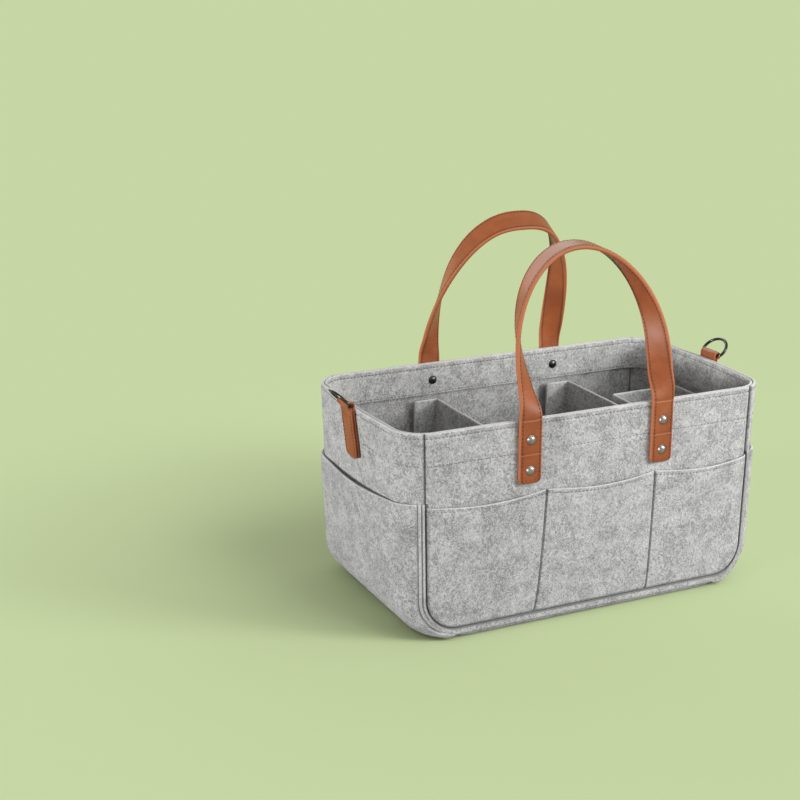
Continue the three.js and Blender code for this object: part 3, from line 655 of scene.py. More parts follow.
class Sheet:
    """Layers of felt given by an outer and an inner surface with one pattern of faces."""

    def __init__(self):
        self.outer, self.inner, self.faces = [], [], []
        self.count = 0

    def add(self, outer, inner, flip=False, wrap=False):
        rows, columns = outer.shape[:2]
        faces = grid_faces(rows, columns, wrap, self.count)
        self.faces.append(faces[:, ::-1] if flip else faces)
        self.outer.append(outer.reshape(-1, 3))
        self.inner.append(inner.reshape(-1, 3))
        self.count += rows * columns
        return self

    def fan(self, ring, centre_outer, centre_inner, flip=False):
        """Closes a ring of vertex numbers with a point in its middle."""
        middle = self.count
        self.outer.append(np.array([centre_outer]))
        self.inner.append(np.array([centre_inner]))
        self.count += 1
        nexts = np.roll(ring, -1)
        order = [nexts, ring] if flip else [ring, nexts]
        self.faces.append(np.stack([*order, np.full_like(ring, middle), np.full_like(ring, middle)], axis=-1))

    def closed(self, rounding):
        """Joins both surfaces with a rounded edge all round."""
        outer, inner = np.concatenate(self.outer), np.concatenate(self.inner)
        faces = np.concatenate(self.faces)
        keys = np.round(outer / WELD).astype(np.int64)
        _, first, same = np.unique(keys, axis=0, return_index=True, return_inverse=True)
        same = same.reshape(-1)
        outer, inner, faces = outer[first], inner[first], same[faces]
        count = len(outer)
        polygons = []
        for face in faces.tolist():
            kept = [v for i, v in enumerate(face) if v != face[i - 1]]
            if len(kept) > 2:
                polygons.append(kept)
        edges = {}
        for number, face in enumerate(polygons):
            for a, b in zip(face, face[1:] + face[:1]):
                edges[(a, b)] = number
        rim = [(a, b, n) for (a, b), n in edges.items() if (b, a) not in edges]
        away = np.zeros((count, 3))
        for a, b, number in rim:
            corners = outer[polygons[number]]
            spread = corners[1:] - corners[0]
            normal = sum(np.cross(spread[i], spread[i + 1]) for i in range(len(spread) - 1))
            side = np.cross(outer[b] - outer[a], normal)
            side /= max(np.linalg.norm(side), 1e-12)
            away[a] += side
            away[b] += side
        points = [outer, inner]
        loops = {}
        edge_points = []
        for a, b, _ in rim:
            for v in (a, b):
                if v in loops:
                    continue
                middle, arm = (outer[v] + inner[v]) / 2, (outer[v] - inner[v]) / 2
                out = away[v] / max(np.linalg.norm(away[v]), 1e-12)
                loop = [v]
                for k in range(1, EDGE_STEPS):
                    turn = math.pi * k / EDGE_STEPS
                    loop.append(2 * count + len(edge_points))
                    edge_points.append(middle + arm * math.cos(turn) + out * rounding * math.sin(turn))
                loops[v] = loop + [v + count]
        for a, b, _ in rim:
            for k in range(EDGE_STEPS):
                polygons.append([loops[b][k], loops[a][k], loops[a][k + 1], loops[b][k + 1]])
        outside = polygons[: len(polygons) - EDGE_STEPS * len(rim)]
        inside = [[v + count for v in reversed(face)] for face in outside]
        points.append(np.array(edge_points).reshape(-1, 3))
        self.edge_share = np.concatenate([np.zeros(2 * count), np.ones(len(edge_points))])
        return np.concatenate(points), polygons + inside


def felt_piece(name, points, faces, sheet, material="felt", seam=None, pale=0.0):
    """A felt panel whose cut edges and ridges are marked for a painted highlight, and whose seams and creases
    are marked for painted shade.
    """
    made = piece(name, points, faces, material)
    point_values(made, "edge", np.maximum(sheet.edge_share, pale))
    if seam is not None:
        point_values(made, "seam", seam)
    return made


def past_seam(body, points):
    """How far points are outside the seam line, seen from the front."""
    return -body.seam_distance(points[:, 0], points[:, 2])


def mirrored(points):
    return points * np.array([-1.0, 1.0, 1.0])


def turned(points):
    return points * np.array([-1.0, -1.0, 1.0])


def spaced(low, high, step):
    return np.linspace(low, high, max(2, int(math.ceil((high - low) / step)) + 1))


def levels(*stops):
    """Heights joined from stretches of (from, to, step)."""
    parts = [spaced(low, high, step)[:-1] for low, high, step in stops]
    return np.concatenate(parts + [[stops[-1][1]]])


def crowded(count, amount):
    """A row of shares from 0 to 1, closer together at both ends by an amount from 0 to 1."""
    share = np.linspace(0.0, 1.0, count)
    share = ((1 - amount) * (2 * share - 1) + amount * np.sin(math.pi * (share - 0.5)) + 1) / 2
    return share[None, :]


def travelled(path):
    """Distance from a path's start to each of its points."""
    return np.concatenate([[0.0], np.cumsum(np.linalg.norm(np.diff(path, axis=0), axis=1))])


def points_at(stops, reached, path):
    """Points at given distances along a path."""
    return np.stack([np.interp(stops, reached, path[:, k]) for k in range(path.shape[1])], axis=-1)


def divided(path, step, whole=math.ceil):
    """A path with each of its stretches cut into parts of about a step."""
    fine = [path[0]]
    for first, second in zip(path, path[1:]):
        parts = max(1, int(whole(np.linalg.norm(second - first) / step)))
        fine.extend(lerp(first, second, k / parts) for k in range(1, parts + 1))
    return np.array(fine)


def front_and_rear(part, node, points, faces, sheet, **marks):
    """A felt panel at the front, and the same one turned round at the rear."""
    for side, spots in (("front", points), ("rear", turned(points))):
        made = felt_piece(f"{side}_{part}_felt", spots, faces, sheet, **marks)
        settle(made, "caddy", "felt", f"{side}_{node}")


# Felt body


def upper_levels(top):
    return levels((SEWN_HIGH, NEAR_RIM, 3 * MM), (NEAR_RIM, top, 0.6 * MM))


def rim_levels(s):
    """Heights of a wall's rows of points, closest together where it is sewn and at the rim."""
    corner = s.seam_height + s.seam_radius
    curve = corner - s.seam_radius * np.cos(np.linspace(0.0, math.pi / 2, 16))
    lower = levels((corner, SEWN_LOW, 4 * MM), (SEWN_LOW, SEWN_HIGH, 1 * MM))
    return np.concatenate([curve[:-1], lower[:-1], upper_levels(s.height - 1.2 * MM)])


def sewn_dent(felt, sewing, z, hem_share=1.0):
    """How deep the stitch lines at the rim and at the facing's edge press the felt."""
    rim = RIM_DENT * bell(z - (felt.height - sewing.rim_drop), RIM_DENT_WIDTH)
    return rim + hem_share * HEM_DENT * bell(z - sewing.hem_level, HEM_DENT_WIDTH)


def calm_edges(felt, z, from_seam):
    """Share of the felt's waves that is left near the rim and beside a seam."""
    return smoothstep((felt.height - z) / (20 * MM)) * smoothstep(from_seam / (15 * MM))


def seam_dip(body, x, z):
    return -body.s.groove * (1 - smoothstep(body.seam_distance(x, z) / body.s.groove_reach))


def wall_dip(body, x, z, sewing):
    """How far the wall's surface lies off the plain body: seams, stitch lines and slight waves."""
    calm = calm_edges(body.s, z, body.seam_distance(x, z))
    return seam_dip(body, x, z) - sewn_dent(body.s, sewing, z) + ripple(x, z, 0.35 * MM, 0.6) * calm


def make_walls(felt, sewing):
    body = Body(felt)
    z = rim_levels(felt)[:, None]
    inset = felt.gap + 0.6 * MM
    x = (body.seam_half(z) - inset) * (2 * crowded(161, 0.5) - 1)
    z = np.maximum(z, felt.seam_height + inset) + 0 * x
    outer = np.stack([x, -body.wall(x, z, wall_dip(body, x, z, sewing)), z], axis=-1)
    inner = np.stack([x, -body.wall(x, z, -felt.felt), z], axis=-1)
    sheet = Sheet().add(outer, inner)
    points, faces = sheet.closed(0.8 * MM)
    # Painted shade along the seam's groove
    seam = bell(past_seam(body, points), 1.2 * MM)
    front_and_rear("wall", "wall", points, faces, sheet, seam=seam)


def seam_ridge(past):
    """Height of the soft ridge beside a seam, at a distance past it."""
    return 1.0 * MM * bell(past - 2.2 * MM, 1.5 * MM) - 0.9 * MM * bell(past, 0.8 * MM)


def inner_level(felt, z):
    """Height of the inner surface beside a height of the outer one, in the lower corners."""
    return lerp(felt.felt, felt.lower_radius, z / felt.lower_radius)


def make_gusset(felt, sewing):
    """One band of felt: left end, floor and right end."""
    body = Body(felt)
    sheet = Sheet()
    rise = rim_levels(felt)[:, None]
    share = crowded(141, 0.5)
    start = body.seam_half(rise) + felt.gap
    past = np.minimum(share, 1 - share) * 2 * (felt.depth / 2 + felt.end_wrap)
    calm = calm_edges(felt, rise, past) * smoothstep((rise - felt.seam_height) / (30 * MM))
    waves = ripple(body.end(share, rise, start)[..., 1], rise, 0.4 * MM, 2.1) * calm
    out = seam_ridge(past) - sewn_dent(felt, sewing, rise, past < 30 * MM) + waves
    out = out * smoothstep((rise - felt.seam_height) / (8 * MM))
    inner_rise = np.where(rise < felt.lower_radius, inner_level(felt, rise), rise)
    left_outer, left_inner = body.end(share, rise, start, out), body.end(share, inner_rise, start, -felt.felt)
    sheet.add(left_outer, left_inner, flip=False)
    sheet.add(mirrored(left_outer), mirrored(left_inner), flip=True)
    floor_edge = felt.floor_radius * (1 - np.cos(np.linspace(math.pi / 2, 0.0, 7)))
    low = np.concatenate([[felt.seam_height, 8.5 * MM], floor_edge])
    belt_start = float(body.seam_half(np.array(felt.seam_height)) + felt.gap)

    def belt(heights, out):
        """Rows of points right round the foot, inwards from the seam's lowest height."""
        rings = []
        for z in heights:
            left = body.end(share[0], z, belt_start, out)
            across = np.linspace(left[0, 0], -left[0, 0], 101)[1:-1]
            rear = np.stack([across, body.wall(across, z, out), 0 * across + z], axis=-1)
            rings.append(np.concatenate([left, rear, mirrored(left[::-1]), turned(rear)]))
        return np.array(rings)

    belt_outer, belt_inner = belt(low, 0.0), belt(inner_level(felt, low), -felt.felt)
    sheet.add(belt_outer, belt_inner, flip=True, wrap=True)
    ring = np.arange(sheet.count - belt_outer.shape[1], sheet.count)
    sheet.fan(ring, (0.0, 0.0, 0.0), (0.0, 0.0, felt.felt), flip=True)
    points, faces = sheet.closed(0.9 * MM)
    past = past_seam(body, points)
    # Painted highlight on the soft ridge beside the seam, and painted shade in the seam's groove
    pale = 0.6 * bell(past - 2.4 * MM, 1.0 * MM) * (np.abs(points[:, 1]) > felt.depth / 2 - 1 * MM)
    made = felt_piece("gusset_felt", points, faces, sheet, seam=bell(past, 0.9 * MM), pale=pale)
    settle(made, "caddy", "felt", "gusset")


def full_ring(body, z, out):
    """Points right round the body, the last one next to the first."""
    left = body.end(np.linspace(0.0, 1.0, 181), z, 0.0, out)
    return np.concatenate([left, mirrored(left[::-1])[1:-1]])


def ring_line(body, z, out):
    ring = full_ring(body, z, out)
    return np.concatenate([ring, ring[:1]])


def make_hem(felt, sewing):
    """The facing sewn inside the rim."""
    body = Body(felt)
    low = felt.height - felt.hem_depth + 1.0 * MM
    outside = -(felt.felt + 0.1 * MM)
    rise = np.concatenate([spaced(low, SEWN_HIGH, 0.8 * MM)[:-1], upper_levels(felt.height - 1.1 * MM)])
    outer, inner = [], []
    for z in rise:
        press = FACING_RIM_DENT * bell(z - (felt.height - sewing.rim_drop), 1.0 * MM)
        press += FACING_HEM_DENT * bell(z - sewing.hem_level, 0.9 * MM)
        outer.append(full_ring(body, z, outside - felt.hem + press))
        inner.append(full_ring(body, z, outside))
    sheet = Sheet().add(np.array(outer), np.array(inner), wrap=True)
    points, faces = sheet.closed(0.7 * MM)
    made = felt_piece("rim_facing_felt", points, faces, sheet, "felt_inner")
    settle(made, "caddy", "felt_inner", "rim_facing")


def seam_path(body, top):
    """The front seam from a height on the left, round the foot, to the right, with outward directions."""
    s = body.s
    level = s.seam_height + s.seam_radius
    foot = body.seam_foot - s.seam_radius
    rise = spaced(level, top, 4 * MM)
    side = np.stack([body.seam_half(rise), rise], axis=-1)[::-1]
    side_away = np.tile([[1.0, 0.0]], (len(side), 1))
    turn = np.linspace(0.0, math.pi / 2, 14)[1:]
    away = np.stack([np.cos(turn), -np.sin(turn)], axis=-1)
    corner = np.array([[foot, level]]) + s.seam_radius * away
    run = np.linspace(foot, 0.0, 26)[1:]
    bottom = np.stack([run, 0 * run + s.seam_height], axis=-1)
    bottom_away = np.tile([[0.0, -1.0]], (len(bottom), 1))
    spots = np.concatenate([side, corner, bottom])
    outs = np.concatenate([side_away, away, bottom_away])
    flip = np.array([[-1.0, 1.0]])
    return np.concatenate([spots * flip, spots[::-1][1:]]), np.concatenate([outs * flip, outs[::-1][1:]])


def make_edge_rolls(felt):
    """The doubled, rolled edge beside the seam: two soft ridges that run out at the foot."""
    body = Body(felt)

    def upright(z):
        return smoothstep((z - felt.seam_height) / (22 * MM))

    spots, outs = seam_path(body, felt.roll_top)
    past = np.linspace(0.7 * MM, felt.roll_width - 0.15 * MM, 17)
    x = spots[:, None, 0] + outs[:, None, 0] * past
    z = spots[:, None, 1] + outs[:, None, 1] * past
    ridges = 1.0 * MM * bell(past - FIRST_RIDGE, 0.8 * MM) + 0.8 * MM * bell(past - SECOND_RIDGE, 0.8 * MM)
    out = 1.4 * MM + lerp(0.8 * MM, ridges[None, :], upright(z))
    outer = np.stack([x, -body.wall(x, z, out), z], axis=-1)
    inner = np.stack([x, -body.wall(x, z, felt.gap + 0 * x), z], axis=-1)
    sheet = Sheet().add(outer, inner)
    points, faces = sheet.closed(0.6 * MM)
    past = past_seam(body, points)
    share = upright(points[:, 2])
    # Painted shade at the seam and in the valley between the ridges, painted highlight on the ridge crests
    seam = np.maximum(bell(past - 0.4 * MM, 0.6 * MM), share * bell(past - 2.95 * MM, 0.5 * MM))
    pale = share * 0.8 * (bell(past - FIRST_RIDGE, 0.6 * MM) + bell(past - SECOND_RIDGE, 0.6 * MM))
    front_and_rear("edge_roll", "edge_roll", points, faces, sheet, seam=seam, pale=pale)


def stitch_lines(pockets, rise_share):
    """Places of the two upright stitch lines at a share of the pocket layer's height."""
    root = np.sqrt(rise_share)
    return lerp(pockets.left_foot, pockets.left_top, root), lerp(pockets.right_foot, pockets.right_top, root)


def wall_pocket_point(body, pockets, column, rise_share, thickness):
    """A point of the pocket layer: column runs 0 to 3 across the pockets, rise_share up them."""
    s = body.s
    pocket = np.minimum(2, np.floor(column)).astype(int)
    within = column - pocket
    foot = s.seam_height + POCKET_INSET
    swell = np.sin(math.pi * within)
    mouth = pockets.wall_mouth - pockets.wall_sag * swell
    z = foot + (mouth - foot) * rise_share
    half = body.seam_half(z) - POCKET_INSET
    left, right = stitch_lines(pockets, rise_share)
    lines = np.stack([-half, left + 0 * half, right + 0 * half, half], axis=0)
    low = np.take_along_axis(lines, pocket[None], axis=0)[0]
    high = np.take_along_axis(lines, pocket[None] + 1, axis=0)[0]
    x = lerp(low, high, within)
    bulge = pockets.wall_bulge * swell * rise_share**pockets.rise_power
    out = s.gap + bulge + seam_dip(body, x, z) + thickness
    return np.stack([x, -body.wall(x, z, out), z], axis=-1)


def make_wall_pockets(felt, pockets):
    body = Body(felt)
    local = np.linspace(0.0, 1.0, 45)
    local = lerp(local, 0.5 - 0.5 * np.cos(math.pi * local), 0.75)
    column = np.concatenate([pocket + local[:-1] for pocket in range(3)] + [[3.0]])
    middle = np.linspace(0.1, 0.93, 40)[:-1]
    rise = np.concatenate([np.linspace(0.0, 0.1, 9)[:-1], middle, np.linspace(0.93, 1.0, 12)])
    column, rise = np.broadcast_arrays(column[None, :], rise[:, None])
    within = column - np.minimum(2, np.floor(column))
    near_line = np.minimum(within, 1 - within) * POCKET_WIDTH
    inner_line = (column > 0.5) & (column < 2.5)
    crease = POCKET_CREASE * bell(near_line, 1.5 * MM) * inner_line
    from_mouth = (pockets.wall_mouth - felt.seam_height) * (1 - rise)
    press = MOUTH_DENT * bell(from_mouth - 2.6 * MM, 1.0 * MM)
    calm = smoothstep(near_line / (12 * MM)) * smoothstep(rise * 8)
    wave = ripple(column * 0.1, rise * 0.1, 0.45 * MM, 4.2) * calm
    outer = wall_pocket_point(body, pockets, column, rise, pockets.wall_layer - crease - press + wave)
    inner = wall_pocket_point(body, pockets, column, rise, 0 * rise)
    sheet = Sheet().add(outer, inner)
    points, faces = sheet.closed(0.7 * MM)
    foot = felt.seam_height + POCKET_INSET
    rise = np.clip((points[:, 2] - foot) / (pockets.wall_mouth - foot), 0.0, 1.0)
    # Painted shade along the seam and along the pockets' upright stitch creases
    seam = bell(past_seam(body, points), 1.5 * MM)
    for line in stitch_lines(pockets, rise):
        seam = np.maximum(seam, 0.85 * bell(points[:, 0] - line, 0.8 * MM))
    front_and_rear("pocket", "pocket_panel", points, faces, sheet, seam=seam)


def end_mouth(body, pockets, y):
    across = (y + body.side) / (2 * body.side)
    level = lerp(pockets.end_mouth_front, pockets.end_mouth_rear, across)
    return level - pockets.end_sag * np.sin(math.pi * np.clip(across, 0.0, 1.0))


def end_pocket_point(body, pockets, share, rise_share, thickness):
    """A point of an end pocket before it bulges, and its bulge; a trial height places it across."""
    s = body.s
    foot = 3.2 * MM
    grow = s.roll_width + 0.15 * MM
    trial = 0.1 + 0 * share
    across_at = body.end(share, trial, body.seam_half(trial, grow))[..., 1]
    mouth = end_mouth(body, pockets, across_at) - 0.8 * MM
    z = foot + (mouth - foot) * rise_share
    across = np.cos(math.pi / 2 * np.minimum(1.0, np.abs(across_at) / body.side)) ** 2
    climb = np.maximum(0.0, (z - s.lower_radius) / (pockets.end_mouth_rear - s.lower_radius))
    bulge = pockets.end_bulge * across * climb**pockets.rise_power
    return body.end(share, z, body.seam_half(z, grow), s.gap + thickness), bulge


def make_end_pockets(felt, pockets):
    body = Body(felt)
    share = crowded(111, 0.3)
    foot = (1 - np.cos(np.linspace(0.0, math.pi / 2, 14))) * 0.3
    rise = np.concatenate([foot, np.linspace(0.3, 0.95, 34)[1:-1], np.linspace(0.95, 1.0, 9)])
    share, rise = np.broadcast_arrays(share, rise[:, None])
    from_side = np.minimum(share, 1 - share)
    wave = ripple(share * 0.25, rise * 0.12, 0.5 * MM, 7.7)
    wave = wave * smoothstep(from_side * 12) * smoothstep(rise * 6)
    past = from_side * 2 * POCKET_WIDTH
    ridge = 0.5 * MM * bell(past - 4.0 * MM, 2.2 * MM) - 1.0 * MM * bell(past, 1.6 * MM)
    outer, bulge = end_pocket_point(body, pockets, share, rise, pockets.end_layer + wave - 0.4 * MM + ridge)
    inner, _ = end_pocket_point(body, pockets, share, rise, 0 * rise)
    outwards = np.stack([bulge, 0 * bulge, 0 * bulge], axis=-1)
    sheet = Sheet().add(outer - outwards, inner - outwards)
    points, faces = sheet.closed(0.9 * MM)
    # Painted shade where the pocket meets the rolled edge
    seam = bell(past_seam(body, points) - felt.roll_width, 0.9 * MM) * (points[:, 2] > felt.seam_height)
    flipped = [list(reversed(face)) for face in faces]
    for end, spots, order in (("left", points, faces), ("right", mirrored(points), flipped)):
        made = felt_piece(end + "_end_pocket_felt", spots, order, sheet, seam=seam)
        settle(made, "caddy", "felt", end + "_end_pocket")


# Dividers


def rounded_path(corners, step=4 * MM):
    """A path through corners, each rounded with an arc."""
    corners = [np.array(c, float) for c in corners]
    spots = [corners[0]]
    for before, here, after in zip(corners, corners[1:], corners[2:]):
        into, onward = (before - here), (after - here)
        into, onward = into / np.linalg.norm(into), onward / np.linalg.norm(onward)
        begin, finish = here + into * DIVIDER_BEND, here + onward * DIVIDER_BEND
        for t in np.linspace(0.0, 1.0, 9):
            spots.append((1 - t) ** 2 * begin + 2 * t * (1 - t) * here + t**2 * finish)
    spots.append(corners[-1])
    return divided(np.array(spots), step)


def sideways(path):
    along = np.gradient(path, axis=0)
    along /= np.linalg.norm(along, axis=1, keepdims=True)
    return np.stack([along[:, 1], -along[:, 0]], axis=-1)


def upright_sheet(path, rise, thickness, wave=0.0, phase=0.0, move=None):
    """A felt panel standing on a path in plan."""
    normal = sideways(path)
    reach = travelled(path)
    z = rise[:, None] + 0 * reach
    calm = smoothstep(reach / (30 * MM)) * smoothstep((reach[-1] - reach) / (30 * MM))
    shift = ripple(reach[None, :], z, wave, phase) * calm
    centre = path[None] + normal[None] * shift[..., None]
    half = normal[None] * thickness / 2 + 0 * centre
    outer = np.concatenate([centre + half, z[..., None]], axis=-1)
    inner = np.concatenate([centre - half, z[..., None]], axis=-1)
    if move:
        outer, inner = move(outer), move(inner)
    return outer, inner


def divider_levels(sizes, edge, low):
    """Heights of a divider's rows of points, closer together below a height and at its upper edge."""
    foot = levels((sizes.foot + edge, low, 2.5 * MM), (low, DIVIDER_HIGH, 5 * MM))
    return np.concatenate([foot[:-1], levels((DIVIDER_HIGH, sizes.top - edge, 1.2 * MM))])


def make_dividers(felt, sizes):
    edge = 1.1 * MM
    rise = divider_levels(sizes, edge, DIVIDER_LOW)
    face = felt.depth / 2 - felt.felt - sizes.tape_stack - sizes.felt / 2
    for name, spot, phase in (("divider_left", sizes.left, 0.4), ("divider_right", sizes.right, 3.1)):
        end = spot - sizes.felt / 2 - sizes.flange + edge
        path = rounded_path([(end, -face), (spot, -face), (spot, face), (end, face)])
        outer, inner = upright_sheet(path, rise, sizes.felt, 0.9 * MM, phase)
        sheet = Sheet().add(inner, outer, flip=True)
        points, faces = sheet.closed(edge)
        settle(felt_piece(name + "_felt", points, faces, sheet, "felt_inner"), name, "felt_inner", name)
    make_box_divider(felt, sizes, face, edge)


def make_box_divider(felt, sizes, face, edge):
    """The U-shaped divider: flange, wing, rear panel and a wing along the right end."""
    body = Body(felt)
    end_x = felt.length / 2 - (felt.felt + sizes.tape_stack + sizes.felt / 2)
    wing, rear = sizes.box_wing, sizes.box_rear
    flange_end = wing + sizes.felt / 2 + sizes.flange - edge
    rear_end = end_x - BOX_STOP
    rise = divider_levels(sizes, edge, BOX_LOW)
    path = rounded_path([(flange_end, -face), (wing, -face), (wing, rear), (rear_end, rear)])
    floor = felt.felt + 2 * felt.gap

    def keep_in(grid):
        """Draws the rear panel in where the body's lower corner is narrower."""
        limit = body.half_length(grid[..., 2], -floor) - 2.5 * MM
        limit = np.where(grid[..., 2] < BOX_LOW, limit, 1.0)
        out = grid.copy()
        span = grid[..., 0] - wing
        squeeze = np.minimum(1.0, (limit - wing) / (rear_end - wing))
        on_rear = grid[..., 1] > rear - 8 * MM
        out[..., 0] = np.where(on_rear & (span > 0), wing + span * squeeze, grid[..., 0])
        return out

    def follow(grid):
        """Leans the end wing along with the end wall."""
        out = grid.copy()
        shift = body.half_length(grid[..., 2]) - felt.length / 2 + body.bow(grid[..., 1], grid[..., 2])
        out[..., 0] += shift * smoothstep((grid[..., 0] - (end_x - 14 * MM)) / (8 * MM))
        return out

    turn = rounded_path([(end_x - 9 * MM, rear), (end_x, rear), (end_x, sizes.box_front + edge)])
    upper = rise[rise >= BOX_LOW]
    panels = [
        upright_sheet(path, rise, sizes.felt, 0.5 * MM, 5.5, keep_in),
        upright_sheet(turn, upper, sizes.felt, 0.0, 0.0, follow),
    ]
    sheets = [Sheet().add(inner, outer, flip=True) for outer, inner in panels]
    (first_points, first_faces), (second_points, second_faces) = (sheet.closed(edge) for sheet in sheets)
    shift = len(first_points)
    faces = first_faces + [[v + shift for v in f] for f in second_faces]
    points = np.concatenate([first_points, second_points])
    whole = sheets[0]
    whole.edge_share = np.concatenate([sheet.edge_share for sheet in sheets])
    made = felt_piece("box_divider_felt", points, faces, whole, "felt_inner")
    settle(made, "box_divider", "felt_inner", "box_divider")


# Leather


def strap_line(felt, leather, form, side):
    """Centre line of a strap from foot to foot, with each point's twist."""
    middle = felt.depth / 2 + felt.gap + leather.strap / 2
    foot = leather.hinge + felt.gap
    reach = leather.leg_place + form["spread"] * MM
    shoulder = felt.height + form["shoulder"] * MM
    crown = felt.height + form["crown"] * MM
    t = np.linspace(0.0, 1.0, 1601)
    end = np.where(t < 0.5, LEFT, RIGHT)
    rise = 1 - np.abs(2 * t - 1)
    s = np.clip(rise / SHOULDER_SHARE, 0.0, 1.0)
    turn = math.pi / 2 * np.clip((rise - SHOULDER_SHARE) / (1 - SHOULDER_SHARE), 0.0, 1.0)
    low = rise < SHOULDER_SHARE
    cosine = np.maximum(0.0, np.cos(turn)) ** form["round"]
    x = np.where(low, lerp(leather.leg_place, reach, (1 - np.cos(math.pi * s)) / 2), reach * cosine)
    sine = np.sin(turn) ** form["round"]
    z = np.where(low, foot + (shoulder - foot) * s, shoulder + (crown - shoulder) * sine)
    climb = (z - foot) / (crown - foot)
    ease = smoothstep((z - foot + 4 * MM) / (26 * MM))
    y = middle + (form["crown_place"] * MM - middle) * climb ** form["lean"] * ease
    arch = np.stack([end * x, side * y, z], axis=-1)
    share = travelled(arch)
    share = share / share[-1]
    turned_by = 1 - (1 - np.clip((1 - np.abs(2 * share - 1)) / TWIST_END, 0.0, 1.0)) ** form["twist_power"]
    early = math.radians(form["early"]) * smoothstep((z - foot) / (14 * MM))
    angle = math.radians(form["twist"]) * turned_by * smoothstep((z - foot) / (18 * MM)) + early
    even = np.linspace(0.0, 1.0, 801)
    window = np.hanning(51)
    padded = np.pad(np.interp(even, share, angle), len(window) // 2, mode="edge")
    angle = np.interp(share, even, np.convolve(padded, window / window.sum(), mode="valid"))
    heights = spaced(leather.leg_foot, foot, 0.5 * MM)[:-1]
    leg = np.stack([0 * heights - leather.leg_place, 0 * heights + side * middle, heights], axis=-1)
    line = np.concatenate([leg, arch, mirrored(leg)[::-1]]) + np.array([form["place"] * MM, 0.0, 0.0])
    return line, np.concatenate([0 * heights, angle, 0 * heights]), travelled(line)


def strap_frames(line, angle, reached, stops):
    """Centre, width direction and thickness direction at distances along a strap."""
    theta = np.interp(stops, reached, angle)[:, None]
    span = 2.0 * MM
    along = points_at(stops + span, reached, line) - points_at(stops - span, reached, line)
    along /= np.linalg.norm(along, axis=1, keepdims=True)
    across = np.cross(np.array([0.0, 1.0, 0.0]), along)
    across /= np.linalg.norm(across, axis=1, keepdims=True)
    wide = across * np.cos(theta) + np.cross(along, across) * np.sin(theta)
    return points_at(stops, reached, line), wide, np.cross(along, wide)


def strap_section(width, thickness, inset):
    """Outline of a strap's cross-section, how far each point is edge, and the painted shade of its stitch
    grooves.
    """
    half, deep = width / 2, thickness / 2
    radius = min(deep, 1.5 * MM)
    flat = half - radius
    face = np.linspace(-flat, flat, 27)
    line = half - inset
    press = bell(np.abs(face) - line, 0.5 * MM)
    level = deep - 0.28 * MM * press + 0.12 * MM * (1 - (face / flat) ** 2)
    turn = np.linspace(0.0, math.pi, 10)[1:-1]
    right = np.stack([flat + radius * np.sin(turn), deep * np.cos(turn)], axis=-1)
    top = np.stack([face, level], axis=-1)
    outline = np.concatenate([top, right, -top, -right])
    edge = np.concatenate([0 * face, 0 * turn + 1, 0 * face, 0 * turn + 1])
    painted_shade = np.concatenate([press, 0 * turn, press, 0 * turn])
    return outline, edge, painted_shade


def loft(rings):
    """A tube through rings of points, closed at both ends with a point in the middle."""
    rows, columns = rings.shape[:2]
    faces = [list(face) for face in grid_faces(rows, columns, wrap=True)]
    first = rows * columns
    points = np.concatenate([rings.reshape(-1, 3), [rings[0].mean(axis=0), rings[-1].mean(axis=0)]])
    for j in range(columns):
        k = (j + 1) % columns
        faces.append([k, j, first])
        faces.append([first - columns + j, first - columns + k, first + 1])
    return points, faces


def foot_width(distance, half, radius):
    """Half the width of a strap near its rounded end."""
    near = np.clip(distance, 0.0, radius)
    return half - radius + np.sqrt(np.maximum(0.0, radius**2 - (radius - near) ** 2))


def strap_relief(height):
    """The folds across a strap's legs, marked for painted highlights, and how deep the dents above them are,
    whose lines get painted shadow.
    """
    fold = bell(height - RIM_FOLD, RIM_FOLD_WIDTH) + bell(height - REST_FOLD, REST_FOLD_WIDTH)
    above = bell(height - RIM_FOLD - RIM_LINE, 0.9 * MM) + bell(height - REST_FOLD - REST_LINE, 0.8 * MM)
    return fold, 0.25 * MM * (above - fold)


def strap_stops(leather, metal, total):
    """Distances along a strap, closest together at its tips, folds and rivets."""
    tip = np.array([0.0, 0.15, 0.5, 1.1, 2.0, 3.2, 5.0]) * MM
    creases = ((REST_FOLD, REST_FOLD_WIDTH), (RIM_FOLD, RIM_FOLD_WIDTH))
    folds = [level + side * width for level, width in creases for side in (-1, 0, 1)]
    rows = (metal.rivet_low, metal.rivet_high)
    rivets = [spaced(row - 5 * MM, row + 5 * MM, 0.7 * MM) for row in rows]
    close = np.concatenate([folds, *rivets]) - leather.leg_foot
    run = spaced(6.5 * MM, total - 6.5 * MM, 1.5 * MM)
    return np.unique(np.round(np.concatenate([tip, run, total - tip, close, total - close]), 5))


def strap_stitches(line, angle, reached, leather):
    """Stitch lines along both edges and across both tips, on both faces of a strap."""
    inset = leather.strap_width / 2 - leather.stitch_inset
    lift = leather.strap / 2 - 0.12 * MM
    sewn = spaced(3 * MM, reached[-1] - 3 * MM, 1.2 * MM)
    centre, wide, thick = strap_frames(line, angle, reached, sewn)
    lines = [centre + wide * w + thick * t for w in (-inset, inset) for t in (-lift, lift)]
    shares = np.linspace(-inset, inset, 12)[:, None]
    lines += [centre[tip] + thick[tip] * t + wide[tip] * shares for tip in (0, -1) for t in (-lift, lift)]
    return lines


